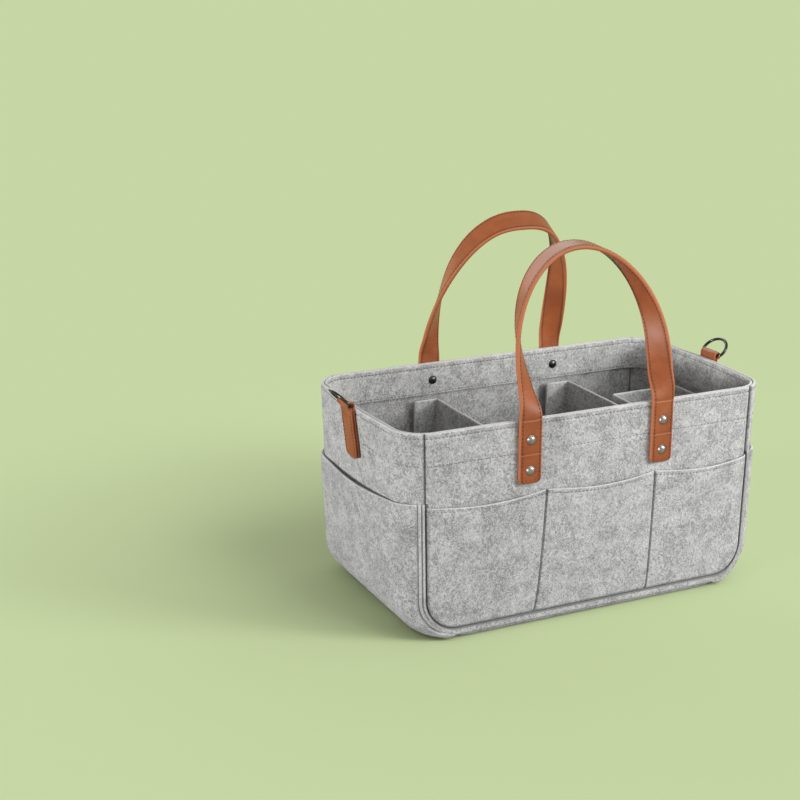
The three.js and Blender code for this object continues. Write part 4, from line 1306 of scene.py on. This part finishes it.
def make_straps(felt, leather, metal, sewing):
    half = leather.strap_width / 2
    outline, edge, painted_shade = strap_section(leather.strap_width, leather.strap, leather.stitch_inset)
    face = np.sign(outline[None, :, 1])
    for name, side in SIDES.items():
        line, angle, reached = strap_line(felt, leather, ARCHES[name], side)
        total = reached[-1]
        stops = strap_stops(leather, metal, total)
        centre, wide, thick = strap_frames(line, angle, reached, stops)
        from_foot = np.minimum(stops, total - stops)
        height = leather.leg_foot + from_foot
        fold, dents = strap_relief(height)
        across = outline[None, :, 0] * (foot_width(from_foot, half, leather.foot_radius) / half)[:, None]
        thin = 1 - 0.55 * np.exp(-from_foot / (0.5 * MM))
        on_outside = (face == np.sign(side * thick[:, 1:2])) & (np.abs(outline[None, :, 0]) < 9 * MM)
        deep = outline[None, :, 1] * thin[:, None] - face * dents[:, None] * on_outside
        rings = centre[:, None] + wide[:, None] * across[..., None] + thick[:, None] * deep[..., None]
        points, faces = loft(rings)
        made = piece(name + "_handle_strap", points, faces, "leather")
        # Painted shade: a ring round each rivet head, the lines above the folds and the stitch grooves;
        # painted highlight on the folds
        reaches = [np.hypot(across, (height - row)[:, None]) for row in (metal.rivet_low, metal.rivet_high)]
        rivet_shade = sum(bell(reach - metal.rivet_radius - 0.2 * MM, 0.7 * MM) for reach in reaches) * on_outside
        lines = np.maximum(0, dents[:, None]) / (0.3 * MM) * on_outside
        sewn = painted_shade[None, :] * (from_foot > 2 * MM)[:, None]
        dark = np.maximum(sewn, np.maximum(lines, rivet_shade))
        light = np.maximum(edge[None, :], 0.8 * fold[:, None] * on_outside)
        point_values(made, "edge", np.concatenate([light.reshape(-1), [1.0, 1.0]]))
        point_values(made, "painted_shade", np.concatenate([dark.reshape(-1), [0.0, 0.0]]))
        solids = [f"{name}_handle_{part}" for part in ("left_end", "right_end", "arch")]
        settle(made, None, "leather", *solids)
        lines = strap_stitches(line, angle, reached, leather)
        stitches = sew(name + "_handle_stitching", lines, sewing, "thread_brown", 1.0, 3.3 * MM)
        settle(stitches, None, "leather")
        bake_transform(made)
        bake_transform(stitches)


def tab_line(felt, leather, metal):
    """Side view of a right-hand tab: up the outside, round the ring's bar and down next to the wall."""
    body = Body(felt)
    hole = metal.wire + felt.gap
    radius = hole + leather.loop_wall / 2
    outside = leather.tab - leather.loop_wall / 2
    inside = leather.loop_wall / 2
    full = hole + leather.loop_wall
    start = math.acos(np.clip((outside - full) / radius, -1.0, 1.0))
    low = metal.ring_height - radius * math.sin(start)
    up = spaced(leather.tab_foot, low, 3 * MM)[:-1]
    turn = np.linspace(-start, math.pi, 26)
    loop = np.stack([full + radius * np.cos(turn), metal.ring_height + radius * np.sin(turn)], axis=-1)
    down = spaced(leather.tab_foot, metal.ring_height, 3 * MM)[::-1][1:]
    sides = [np.stack([0 * run + x, run], axis=-1) for run, x in ((up, outside), (down, inside))]
    line = np.concatenate([sides[0], loop, sides[1]])
    line[:, 0] += body.half_length(line[:, 1]) + body.bow(0.0, line[:, 1]) + felt.gap
    return line


def make_tabs(felt, leather, metal, sewing):
    def leaning(points):
        """Swings the left tab's foot a little towards the front."""
        below = np.maximum(0.0, metal.ring_height - TAB_LEAN_DROP - points[..., 2])
        return points + np.stack([0 * below, -TAB_LEAN * below, 0 * below], axis=-1)

    line = divided(tab_line(felt, leather, metal), 1.2 * MM, round)
    normal = sideways(line)
    reached = travelled(line)
    from_end = np.minimum(reached, reached[-1] - reached)
    half, layer = leather.tab_width / 2, leather.loop_wall - 0.1 * MM
    outline, edge, painted_shade = strap_section(leather.tab_width, layer, TAB_STITCH_INSET)
    across = outline[None, :, 0] * (foot_width(from_end, half, leather.tab_radius) / half)[:, None]
    thin = 1 - 0.5 * np.exp(-from_end / (0.5 * MM))
    deep = outline[None, :, 1] * thin[:, None]
    x = line[:, None, 0] + normal[:, None, 0] * deep
    z = line[:, None, 1] + normal[:, None, 1] * deep
    points, faces = loft(np.stack([x, across, z], axis=-1))
    sewn = (reached > 3 * MM) & (line[:, 1] < 174 * MM) & (reached < reached[-1] / 2)
    stitched = line[sewn] + normal[sewn] * (layer / 2 - 0.05 * MM)
    inset = half - TAB_STITCH_INSET
    x, z = stitched[:, 0], stitched[:, 1]
    lines = [np.stack([x, 0 * x + y, z], axis=-1) for y in (-inset, inset)]
    y = np.linspace(-inset, inset, 12)
    lines += [np.stack([0 * y + x[tip], y, 0 * y + z[tip]], axis=-1) for tip in (-1, 0)]
    rows = len(line)
    for name, mirror in (("right", False), ("left", True)):
        spots = leaning(mirrored(points)) if mirror else points
        order = faces if mirror else [list(reversed(face)) for face in faces]
        made = piece(name + "_tab_leather", spots, order, "leather")
        point_values(made, "edge", np.concatenate([np.tile(edge * 0.45, rows), [0.5, 0.5]]))
        # Painted shade in the tab's stitch grooves
        point_values(made, "painted_shade", np.concatenate([np.tile(painted_shade, rows), [0.0, 0.0]]))
        settle(made, "caddy", "leather", name + "_tab")
        placed = [leaning(mirrored(run)) for run in lines] if mirror else lines
        stitches = sew(name + "_tab_stitching", placed, sewing, "thread_brown", 0.85, 2.8 * MM)
        settle(stitches, "caddy", "leather")


# Metal


def ring_outline(metal):
    """A D-ring's centre line: reach from its bar, and place along it."""
    half, corner, reach = metal.ring_half, metal.ring_corner, metal.ring_reach
    spots = [(0.0, y) for y in np.linspace(corner - half, half - corner, 16)]
    for t in np.linspace(0.0, 1.0, 10)[1:]:
        spots.append((corner * t * t, (1 - t) ** 2 * (half - corner) + (1 - (1 - t) ** 2) * half))
    for turn in np.linspace(0.0, math.pi, 60)[1:]:
        spots.append((corner + (reach - corner) * math.sin(turn), half * math.cos(turn)))
    for t in np.linspace(0.0, 1.0, 10)[1:-1]:
        spots.append((corner * (1 - t) ** 2, -(t * t * (half - corner) + (1 - t * t) * half)))
    spots = np.array(spots + [spots[0]])
    reached = travelled(spots)
    return points_at(np.linspace(0.0, reached[-1], 96, endpoint=False), reached, spots)


def make_rings(felt, leather, metal):
    line = ring_outline(metal)
    along = np.roll(line, -1, axis=0) - np.roll(line, 1, axis=0)
    along /= np.linalg.norm(along, axis=1, keepdims=True)
    normal = np.stack([along[:, 1], -along[:, 0]], axis=-1)
    turn = np.linspace(0.0, 2 * math.pi, 20, endpoint=False)
    flat = line[:, None] + normal[:, None] * (metal.wire * np.cos(turn))[None, :, None]
    lift = metal.wire * np.sin(turn)[None, :] + 0 * flat[..., 0]
    tilt = metal.ring_tilt
    ring_x = felt.length / 2 + felt.end_bow + felt.gap + metal.wire + felt.gap + leather.loop_wall
    x = ring_x + flat[..., 0] * math.cos(tilt) - lift * math.sin(tilt)
    z = metal.ring_height + flat[..., 0] * math.sin(tilt) + lift * math.cos(tilt)
    rings = np.stack([x, flat[..., 1], z], axis=-1)
    rows, columns = rings.shape[:2]
    faces = grid_faces(rows + 1, columns, wrap=True) % (rows * columns)
    points = rings.reshape(-1, 3)
    for name, mirror in (("right", False), ("left", True)):
        spots = mirrored(points) if mirror else points
        order = faces if mirror else faces[:, ::-1]
        made = piece(name + "_d_ring_metal", spots, order, "gunmetal")
        settle(made, name + "_ring", "gunmetal", name + "_d_ring")


def socket_of(tree, name):
    items = [item for item in tree.interface.items_tree if item.in_out == "INPUT"]
    return next(item.identifier for item in items if item.name == name)


class Geometry:
    """A geometry node tree with named inputs."""

    def __init__(self, name, inputs):
        self.tree = bpy.data.node_groups.new(name, "GeometryNodeTree")
        self.tree.interface.new_socket("Geometry", in_out="INPUT", socket_type="NodeSocketGeometry")
        for label, kind in inputs.items():
            self.tree.interface.new_socket(label, in_out="INPUT", socket_type="NodeSocket" + kind)
        self.tree.interface.new_socket("Geometry", in_out="OUTPUT", socket_type="NodeSocketGeometry")
        self.given = self.tree.nodes.new("NodeGroupInput")
        self.result = self.tree.nodes.new("NodeGroupOutput")

    def node(self, kind, settings=None, inputs=None):
        made = self.tree.nodes.new(kind)
        for key, value in (settings or {}).items():
            setattr(made, key, value)
        for key, value in (inputs or {}).items():
            if isinstance(value, bpy.types.NodeSocket):
                self.tree.links.new(value, made.inputs[key])
            else:
                made.inputs[key].default_value = value
        return made

    def on_points(self, points, instance, rotation, scale):
        inputs = {"Points": points, "Instance": instance, "Rotation": rotation, "Scale": scale}
        return self.node("GeometryNodeInstanceOnPoints", {}, inputs).outputs[0]

    def finish(self, instances):
        real = self.node("GeometryNodeRealizeInstances", {}, {0: instances})
        inputs = {"Geometry": real.outputs[0], "Material": self.given.outputs["Material"]}
        painted = self.node("GeometryNodeSetMaterial", {}, inputs)
        self.tree.links.new(painted.outputs[0], self.result.inputs[0])
        return self.tree


def stitch_tree():
    """Stitches laid end to end along the curves of a mesh's edges."""
    lengths = {"Pitch": "Float", "Stitch length": "Float", "Thread": "Float"}
    made = Geometry("stitches", {**lengths, "Seed": "Int", "Material": "Material"})
    given = made.given.outputs
    curve = made.node("GeometryNodeMeshToCurve", {}, {0: given[0]})
    along = {"Curve": curve.outputs[0], "Length": given["Pitch"]}
    spots = made.node("GeometryNodeCurveToPoints", {"mode": "LENGTH"}, along).outputs
    bead = made.node("GeometryNodeMeshUVSphere", {}, {"Segments": 6, "Rings": 5, "Radius": 0.5})
    thread = given["Thread"]
    size = made.node("ShaderNodeCombineXYZ", {}, {"X": thread, "Y": thread, "Z": given["Stitch length"]})
    spread = {2: 0.88, 3: 1.06, "Seed": given["Seed"]}
    uneven = made.node("FunctionNodeRandomValue", {"data_type": "FLOAT"}, spread)
    sizes = {0: size.outputs[0], "Scale": uneven.outputs[1]}
    scaled = made.node("ShaderNodeVectorMath", {"operation": "SCALE"}, sizes)
    laid = made.on_points(spots["Points"], bead.outputs["Mesh"], spots["Rotation"], scaled.outputs[0])
    return made.finish(laid)


def rivet_tree():
    """A domed head with a thin collar on every point, facing along the point's own direction."""
    made = Geometry("rivets", {"Radius": "Float", "Height": "Float", "Material": "Material"})
    given = made.given.outputs
    spots = made.node("GeometryNodeMeshToPoints", {}, {0: given[0]})
    facing = made.node("GeometryNodeInputNamedAttribute", {"data_type": "FLOAT_VECTOR"}, {"Name": "facing"})
    aim = made.node("FunctionNodeAlignRotationToVector", {"axis": "Z"}, {"Vector": facing.outputs[0]})
    radius = given["Radius"]
    size = made.node("ShaderNodeCombineXYZ", {}, {"X": radius, "Y": radius, "Z": given["Height"]})
    inset = {0: size.outputs[0], 1: (0.86, 0.86, 1.0)}
    domed = made.node("ShaderNodeVectorMath", {"operation": "MULTIPLY"}, inset)
    dome = made.node("GeometryNodeMeshUVSphere", {}, {"Segments": 40, "Rings": 24, "Radius": 1.0})
    collar = made.node("GeometryNodeMeshCylinder", {}, {"Vertices": 40, "Radius": 1.0, "Depth": 0.22})
    both = made.node("GeometryNodeJoinGeometry")
    for shape, scale in ((dome, domed), (collar, size)):
        laid = made.on_points(spots.outputs[0], shape.outputs["Mesh"], aim.outputs[0], scale.outputs[0])
        made.tree.links.new(laid, both.inputs[0])
    return made.finish(both.outputs[0])


TREES = {}


def grown(name, start, tree, values):
    """Runs a geometry tree on a starting mesh and keeps the result as a plain mesh."""
    holder = bpy.data.objects.new(name + "_start", start)
    bpy.context.scene.collection.objects.link(holder)
    modifier = holder.modifiers.new("grow", "NODES")
    modifier.node_group = tree
    for label, value in values.items():
        modifier[socket_of(tree, label)] = value
    graph = bpy.context.evaluated_depsgraph_get()
    evaluated = holder.evaluated_get(graph)
    mesh = bpy.data.meshes.new_from_object(evaluated, preserve_all_data_layers=True, depsgraph=graph)
    if not mesh.polygons:
        raise RuntimeError(name + ": the geometry tree made no faces")
    mesh.name = name
    holder.modifiers.remove(modifier)
    bpy.data.objects.remove(holder)
    mesh.shade_smooth()
    made = bpy.data.objects.new(name, mesh)
    bpy.context.scene.collection.objects.link(made)
    return made


def sew(name, lines, sewing, material, thread_share=1.0, pitch=None):
    """Stitches along lines of points."""
    points, edges, count = [], [], 0
    for run in lines:
        points.append(run)
        edges.extend((count + k, count + k + 1) for k in range(len(run) - 1))
        count += len(run)
    start = bpy.data.meshes.new(name + "_lines")
    start.from_pydata([tuple(p) for p in np.concatenate(points).tolist()], edges, [])
    step = pitch or sewing.pitch
    values = {
        "Pitch": step,
        "Stitch length": step * sewing.stitch / sewing.pitch,
        "Thread": sewing.thread * thread_share,
        "Seed": sewing.seed,
        "Material": FINISHES[material],
    }
    return grown(name, start, TREES["stitches"], values)


def make_rivets(felt, leather, metal):
    heights = {"lower": metal.rivet_low, "upper": metal.rivet_high}
    outside = felt.depth / 2 + felt.gap + leather.strap + 0.05 * MM
    wall_inside = felt.depth / 2 - felt.felt
    depths = {
        "rivet": {"lower": outside, "upper": outside},
        "cap": {"lower": wall_inside, "upper": wall_inside - felt.gap - felt.hem},
    }
    kinds = (("heads", "rivet", metal.rivet_height, "nickel"), ("caps", "cap", metal.cap_height, "cap"))
    for group, kind, high, finish in kinds:
        spots, facings, nodes = [], [], []
        places = product(heights.items(), SIDES.items(), ENDS.items())
        for (level, z), (side_name, side), (end_name, end) in places:
            x = ARCHES[side_name]["place"] * MM + end * leather.leg_place
            spots.append((x, side * depths[kind][level], z))
            facings.append((0.0, side if kind == "rivet" else -side, 0.0))
            nodes.append(f"{side_name}_{end_name}_{level}_{kind}")
        start = bpy.data.meshes.new("rivet_places")
        start.from_pydata(spots, [], [])
        attribute = start.attributes.new("facing", "FLOAT_VECTOR", "POINT")
        attribute.data.foreach_set("vector", np.array(facings, np.float32).reshape(-1))
        values = {"Radius": metal.rivet_radius, "Height": high, "Material": FINISHES[finish]}
        settle(grown("rivet_" + group, start, TREES["rivets"], values), "caddy", "nickel", *nodes)


# Sewing on the felt


def make_body_stitching(felt, pockets, sewing):
    body = Body(felt)
    rim, hem = felt.height - sewing.rim_drop, sewing.hem_level
    facing = -(felt.felt + felt.gap + felt.hem) - THREAD_LIFT
    rim_lines = [ring_line(body, rim, THREAD_LIFT - RIM_DENT), ring_line(body, rim, facing + FACING_RIM_DENT)]
    hem_lines = [ring_line(body, hem, facing + FACING_HEM_DENT), ring_line(body, hem, THREAD_LIFT - HEM_DENT)]
    settle(sew("rim_stitching", rim_lines, sewing, "thread_grey_and_shade"), "caddy", "felt")
    settle(sew("hem_stitching", hem_lines, sewing, "thread_grey_and_shade", 0.8), "caddy", "felt")
    layer = pockets.wall_layer + THREAD_LIFT
    mouth = 1 - sewing.mouth_drop / (pockets.wall_mouth - felt.seam_height)
    lines = []
    for pocket in range(3):
        column = pocket + np.linspace(0.015, 0.985, 60)
        lines.append(wall_pocket_point(body, pockets, column, 0 * column + mouth, layer - MOUTH_DENT))
    for column in (1.0, 2.0):
        rise = np.linspace(0.005, 0.995, 80)
        lines.append(wall_pocket_point(body, pockets, 0 * rise + column, rise, layer - POCKET_CREASE))
    both = lines + [turned(run) for run in lines]
    settle(sew("pocket_stitching", both, sewing, "thread_grey_and_shade", 0.9), "caddy", "felt")


# Stage


def make_stage(stage):
    scene = bpy.context.scene
    scene.view_settings.view_transform = "Standard"
    make_camera(scene, stage)
    even = FLOOR_SKY_SHARE * stage.sky * (1 - stage.zenith / 2)
    for name, strength, aim in (("key_sun", stage.key, KEY_AIM), ("side_sun", stage.side, SIDE_AIM)):
        sun(name, strength, *aim)
        even += strength * math.sin(math.radians(aim[1])) / math.pi
    spot, target = Vector(LAMP_PLACE), Vector(LAMP_TARGET)
    lamp("near_lamp", spot, target, LAMP_SIZE, stage.near)
    sun("sheen_sun", stage.sheen, *SHEEN_AIM).visible_diffuse = False
    make_floor(stage, even, spot, (target - spot).normalized())
    make_world(stage)


def away(side, rise):
    """Direction of a place, by its turn to the right from straight in front and its rise."""
    return Vector((math.sin(side) * math.cos(rise), -math.cos(side) * math.cos(rise), math.sin(rise)))


def make_camera(scene, stage):
    back = away(-stage.azimuth, stage.elevation)
    right = Vector((math.cos(stage.azimuth), -math.sin(stage.azimuth), 0.0))
    turn = Matrix((right, back.cross(right), back)).transposed() @ Matrix.Rotation(stage.roll, 3, "Z")
    data = bpy.data.cameras.new("camera")
    data.lens, data.sensor_width = stage.lens, SENSOR_WIDTH
    data.clip_start, data.clip_end = 0.01, 100.0
    camera = bpy.data.objects.new("camera", data)
    camera.matrix_world = Matrix.Translation(Vector(stage.target) + back * stage.distance) @ turn.to_4x4()
    scene.collection.objects.link(camera)
    scene.camera = camera


def sun(name, strength, side, rise, width):
    """Parallel soft light from a direction, in degrees."""
    data = bpy.data.lights.new(name, "SUN")
    data.energy, data.angle = strength, math.radians(width)
    made = bpy.data.objects.new(name, data)
    towards = away(math.radians(side), math.radians(rise))
    made.rotation_euler = (-towards).to_track_quat("-Z", "Y").to_euler()
    bpy.context.scene.collection.objects.link(made)
    return made


def lamp(name, place, target, size, power):
    data = bpy.data.lights.new(name, "AREA")
    data.shape, data.size, data.energy = "DISK", size, power
    made = bpy.data.objects.new(name, data)
    made.location = place
    made.rotation_euler = (target - place).to_track_quat("-Z", "Y").to_euler()
    bpy.context.scene.collection.objects.link(made)


def make_floor(stage, even, spot, aim):
    """A wide pale floor, painted so that it looks evenly lit, that melts into the far backdrop."""
    finish = Finish("floor")
    here = finish.node("TexCoord", output="Object")
    from_middle = finish.node("VectorMath", {"operation": "LENGTH"}, {0: here}, output=1)
    ray = finish.node("VectorMath", {"operation": "SUBTRACT"}, {0: here, 1: spot})
    reach = finish.node("VectorMath", {"operation": "LENGTH"}, {0: ray}, output=1)
    facing = finish.node("VectorMath", {"operation": "DOT_PRODUCT"}, {0: ray, 1: aim}, output=1)
    light = facing / reach**4 * (stage.near * spot.z / math.pi**2) + even
    paint = finish.node("VectorMath", {"operation": "SCALE"}, {0: stage.backdrop, "Scale": 1 / light})
    seen = finish.background_rays()
    base = finish.mix(seen, (stage.bounce, stage.bounce, stage.bounce), paint)
    matte = finish.node("BsdfDiffuse", {}, {"Color": base})
    glow = finish.node("Emission", {}, {"Color": colour(stage.backdrop), "Strength": 1.0})
    melted = from_middle.smooth(MELT_START, MELT_END) * seen
    finish.result(finish.node("MixShader", {}, {0: melted, 1: matte, 2: glow}))
    FINISHES["floor"] = finish.material
    turn = np.linspace(0.0, 2 * math.pi, 64, endpoint=False)
    points = [(FLOOR_RADIUS * math.cos(a), FLOOR_RADIUS * math.sin(a), -FLOOR_DROP) for a in turn]
    made = piece("floor", points, [list(range(len(turn)))], "floor", flat=True)


def make_world(stage):
    """Soft light all round, dimmer overhead and brighter from the right, and a plain backdrop."""
    world = bpy.data.worlds.new("world")
    world.use_nodes = True
    nodes = Nodes(world.node_tree)
    here = nodes.node("TexCoord", output="Generated")
    right, up = (nodes.node("SeparateXYZ", {}, {0: here}, output=axis) for axis in ("X", "Z"))
    strength = right * (stage.lean * stage.sky) + (up * up * (-stage.zenith * stage.sky) + stage.sky)
    soft = nodes.node("Background", {}, {"Color": (1.0, 1.0, 1.0, 1.0), "Strength": strength})
    plain = nodes.node("Background", {}, {"Color": colour(stage.backdrop), "Strength": 1.0})
    joined = nodes.node("MixShader", {}, {0: nodes.background_rays(), 1: soft, 2: plain})
    nodes.result(joined, "OutputWorld")
    bpy.context.scene.world = world


# Operators, one for each piece or group of like pieces


class CaddyPrepare(bpy.types.Operator):
    """Make the finishes and the node trees the pieces use"""

    bl_idname = "caddy.prepare"
    bl_label = "Finishes"

    def execute(self, context):
        colours = context.scene.caddy_colours
        FINISHES["felt"] = felt_finish("felt", colours)
        # A lighter copy of the felt for the facing and the dividers inside, painted light so that the inside
        # looks as bright as the front
        FINISHES["felt_inner"] = felt_finish("felt_inner", colours, 1.12)
        FINISHES["leather"] = leather_finish("leather", colours)
        FINISHES["nickel"] = metal_finish("nickel", colours.nickel, 0.34)
        FINISHES["gunmetal"] = metal_finish("gunmetal", colours.gunmetal, 0.26)
        # The inner caps get a dark metal rather than the rivet heads' nickel, a shaded copy that is painted
        # shade for the caps inside the box
        FINISHES["cap"] = metal_finish("cap", shade(colours.gunmetal, 1.6), 0.3)
        FINISHES["thread_grey_and_shade"] = thread_finish("thread_grey_and_shade", colours.thread_grey_and_shade)
        FINISHES["thread_brown"] = thread_finish("thread_brown", colours.thread_brown)
        FINISHES["tape"] = tape_finish("tape", colours.tape)
        FINISHES["board"] = board_finish("board", colours.board)
        TREES["stitches"] = stitch_tree()
        TREES["rivets"] = rivet_tree()
        for name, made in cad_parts.items():
            key = "tape" if name.endswith(("_loop", "_hook")) else "board" if name == "base_board" else None
            if key:
                for spot in made.material_slots:
                    spot.material = FINISHES[key]
        return {"FINISHED"}


class CaddyWalls(bpy.types.Operator):
    """Make the front and rear walls"""

    bl_idname = "caddy.walls"
    bl_label = "Walls"

    def execute(self, context):
        make_walls(context.scene.caddy_felt, context.scene.caddy_sewing)
        return {"FINISHED"}


class CaddyGusset(bpy.types.Operator):
    """Make the band of felt that is both ends and the floor"""

    bl_idname = "caddy.gusset"
    bl_label = "Ends and floor"

    def execute(self, context):
        make_gusset(context.scene.caddy_felt, context.scene.caddy_sewing)
        return {"FINISHED"}


class CaddyHem(bpy.types.Operator):
    """Make the facing inside the rim"""

    bl_idname = "caddy.hem"
    bl_label = "Rim facing"

    def execute(self, context):
        make_hem(context.scene.caddy_felt, context.scene.caddy_sewing)
        return {"FINISHED"}


class CaddyRolls(bpy.types.Operator):
    """Make the rolled edges beside the seams"""

    bl_idname = "caddy.rolls"
    bl_label = "Rolled edges"

    def execute(self, context):
        make_edge_rolls(context.scene.caddy_felt)
        return {"FINISHED"}


class CaddyWallPockets(bpy.types.Operator):
    """Make the pocket layers of the front and rear walls"""

    bl_idname = "caddy.wall_pockets"
    bl_label = "Wall pockets"

    def execute(self, context):
        make_wall_pockets(context.scene.caddy_felt, context.scene.caddy_pockets)
        return {"FINISHED"}


class CaddyEndPockets(bpy.types.Operator):
    """Make the pockets round both ends"""

    bl_idname = "caddy.end_pockets"
    bl_label = "End pockets"

    def execute(self, context):
        make_end_pockets(context.scene.caddy_felt, context.scene.caddy_pockets)
        return {"FINISHED"}


class CaddyDividers(bpy.types.Operator):
    """Make the three dividers"""

    bl_idname = "caddy.dividers"
    bl_label = "Dividers"

    def execute(self, context):
        make_dividers(context.scene.caddy_felt, context.scene.caddy_dividers)
        return {"FINISHED"}


class CaddyStitching(bpy.types.Operator):
    """Sew the rim, the facing and the pockets"""

    bl_idname = "caddy.stitching"
    bl_label = "Stitching"

    def execute(self, context):
        scene = context.scene
        make_body_stitching(scene.caddy_felt, scene.caddy_pockets, scene.caddy_sewing)
        return {"FINISHED"}


class CaddyStraps(bpy.types.Operator):
    """Make the two leather handles"""

    bl_idname = "caddy.straps"
    bl_label = "Handles"

    def execute(self, context):
        scene = context.scene
        make_straps(scene.caddy_felt, scene.caddy_leather, scene.caddy_metal, scene.caddy_sewing)
        return {"FINISHED"}


class CaddyTabs(bpy.types.Operator):
    """Make the leather tabs that hold the rings"""

    bl_idname = "caddy.tabs"
    bl_label = "Tabs"

    def execute(self, context):
        scene = context.scene
        make_tabs(scene.caddy_felt, scene.caddy_leather, scene.caddy_metal, scene.caddy_sewing)
        return {"FINISHED"}


class CaddyMetal(bpy.types.Operator):
    """Make the rivets and the D-rings"""

    bl_idname = "caddy.metal"
    bl_label = "Rivets and rings"

    def execute(self, context):
        scene = context.scene
        make_rivets(scene.caddy_felt, scene.caddy_leather, scene.caddy_metal)
        make_rings(scene.caddy_felt, scene.caddy_leather, scene.caddy_metal)
        return {"FINISHED"}


class CaddyStageMaker(bpy.types.Operator):
    """Make the floor, the light and the camera"""

    bl_idname = "caddy.stage"
    bl_label = "Stage"

    def execute(self, context):
        make_stage(context.scene.caddy_stage)
        return {"FINISHED"}


OPERATORS = [
    CaddyStageMaker,
    CaddyPrepare,
    CaddyWalls,
    CaddyGusset,
    CaddyHem,
    CaddyRolls,
    CaddyWallPockets,
    CaddyEndPockets,
    CaddyDividers,
    CaddyStitching,
    CaddyStraps,
    CaddyTabs,
    CaddyMetal,
]


class CaddyPanel(bpy.types.Panel):
    """Lists the caddy's sizes, colours and makers"""

    bl_idname = "VIEW3D_PT_caddy"
    bl_label = "Diaper caddy"
    bl_space_type = "VIEW_3D"
    bl_region_type = "UI"
    bl_category = "Caddy"

    def draw(self, context):
        for name, group in GROUPS.items():
            box = self.layout.box()
            for prop in group.__annotations__:
                box.prop(getattr(context.scene, name), prop)
        for operator in OPERATORS:
            self.layout.operator(operator.bl_idname)


CLASSES = [*GROUPS.values(), *OPERATORS, CaddyPanel]


def register():
    for cls in CLASSES:
        bpy.utils.register_class(cls)
    for name, group in GROUPS.items():
        setattr(bpy.types.Scene, name, bpy.props.PointerProperty(type=group))


def unregister():
    for name in GROUPS:
        delattr(bpy.types.Scene, name)
    for cls in reversed(CLASSES):
        bpy.utils.unregister_class(cls)


def main():
    register()
    for operator in OPERATORS:
        getattr(bpy.ops.caddy, operator.bl_idname.split(".")[1])()


if __name__ == "__main__":
    main()
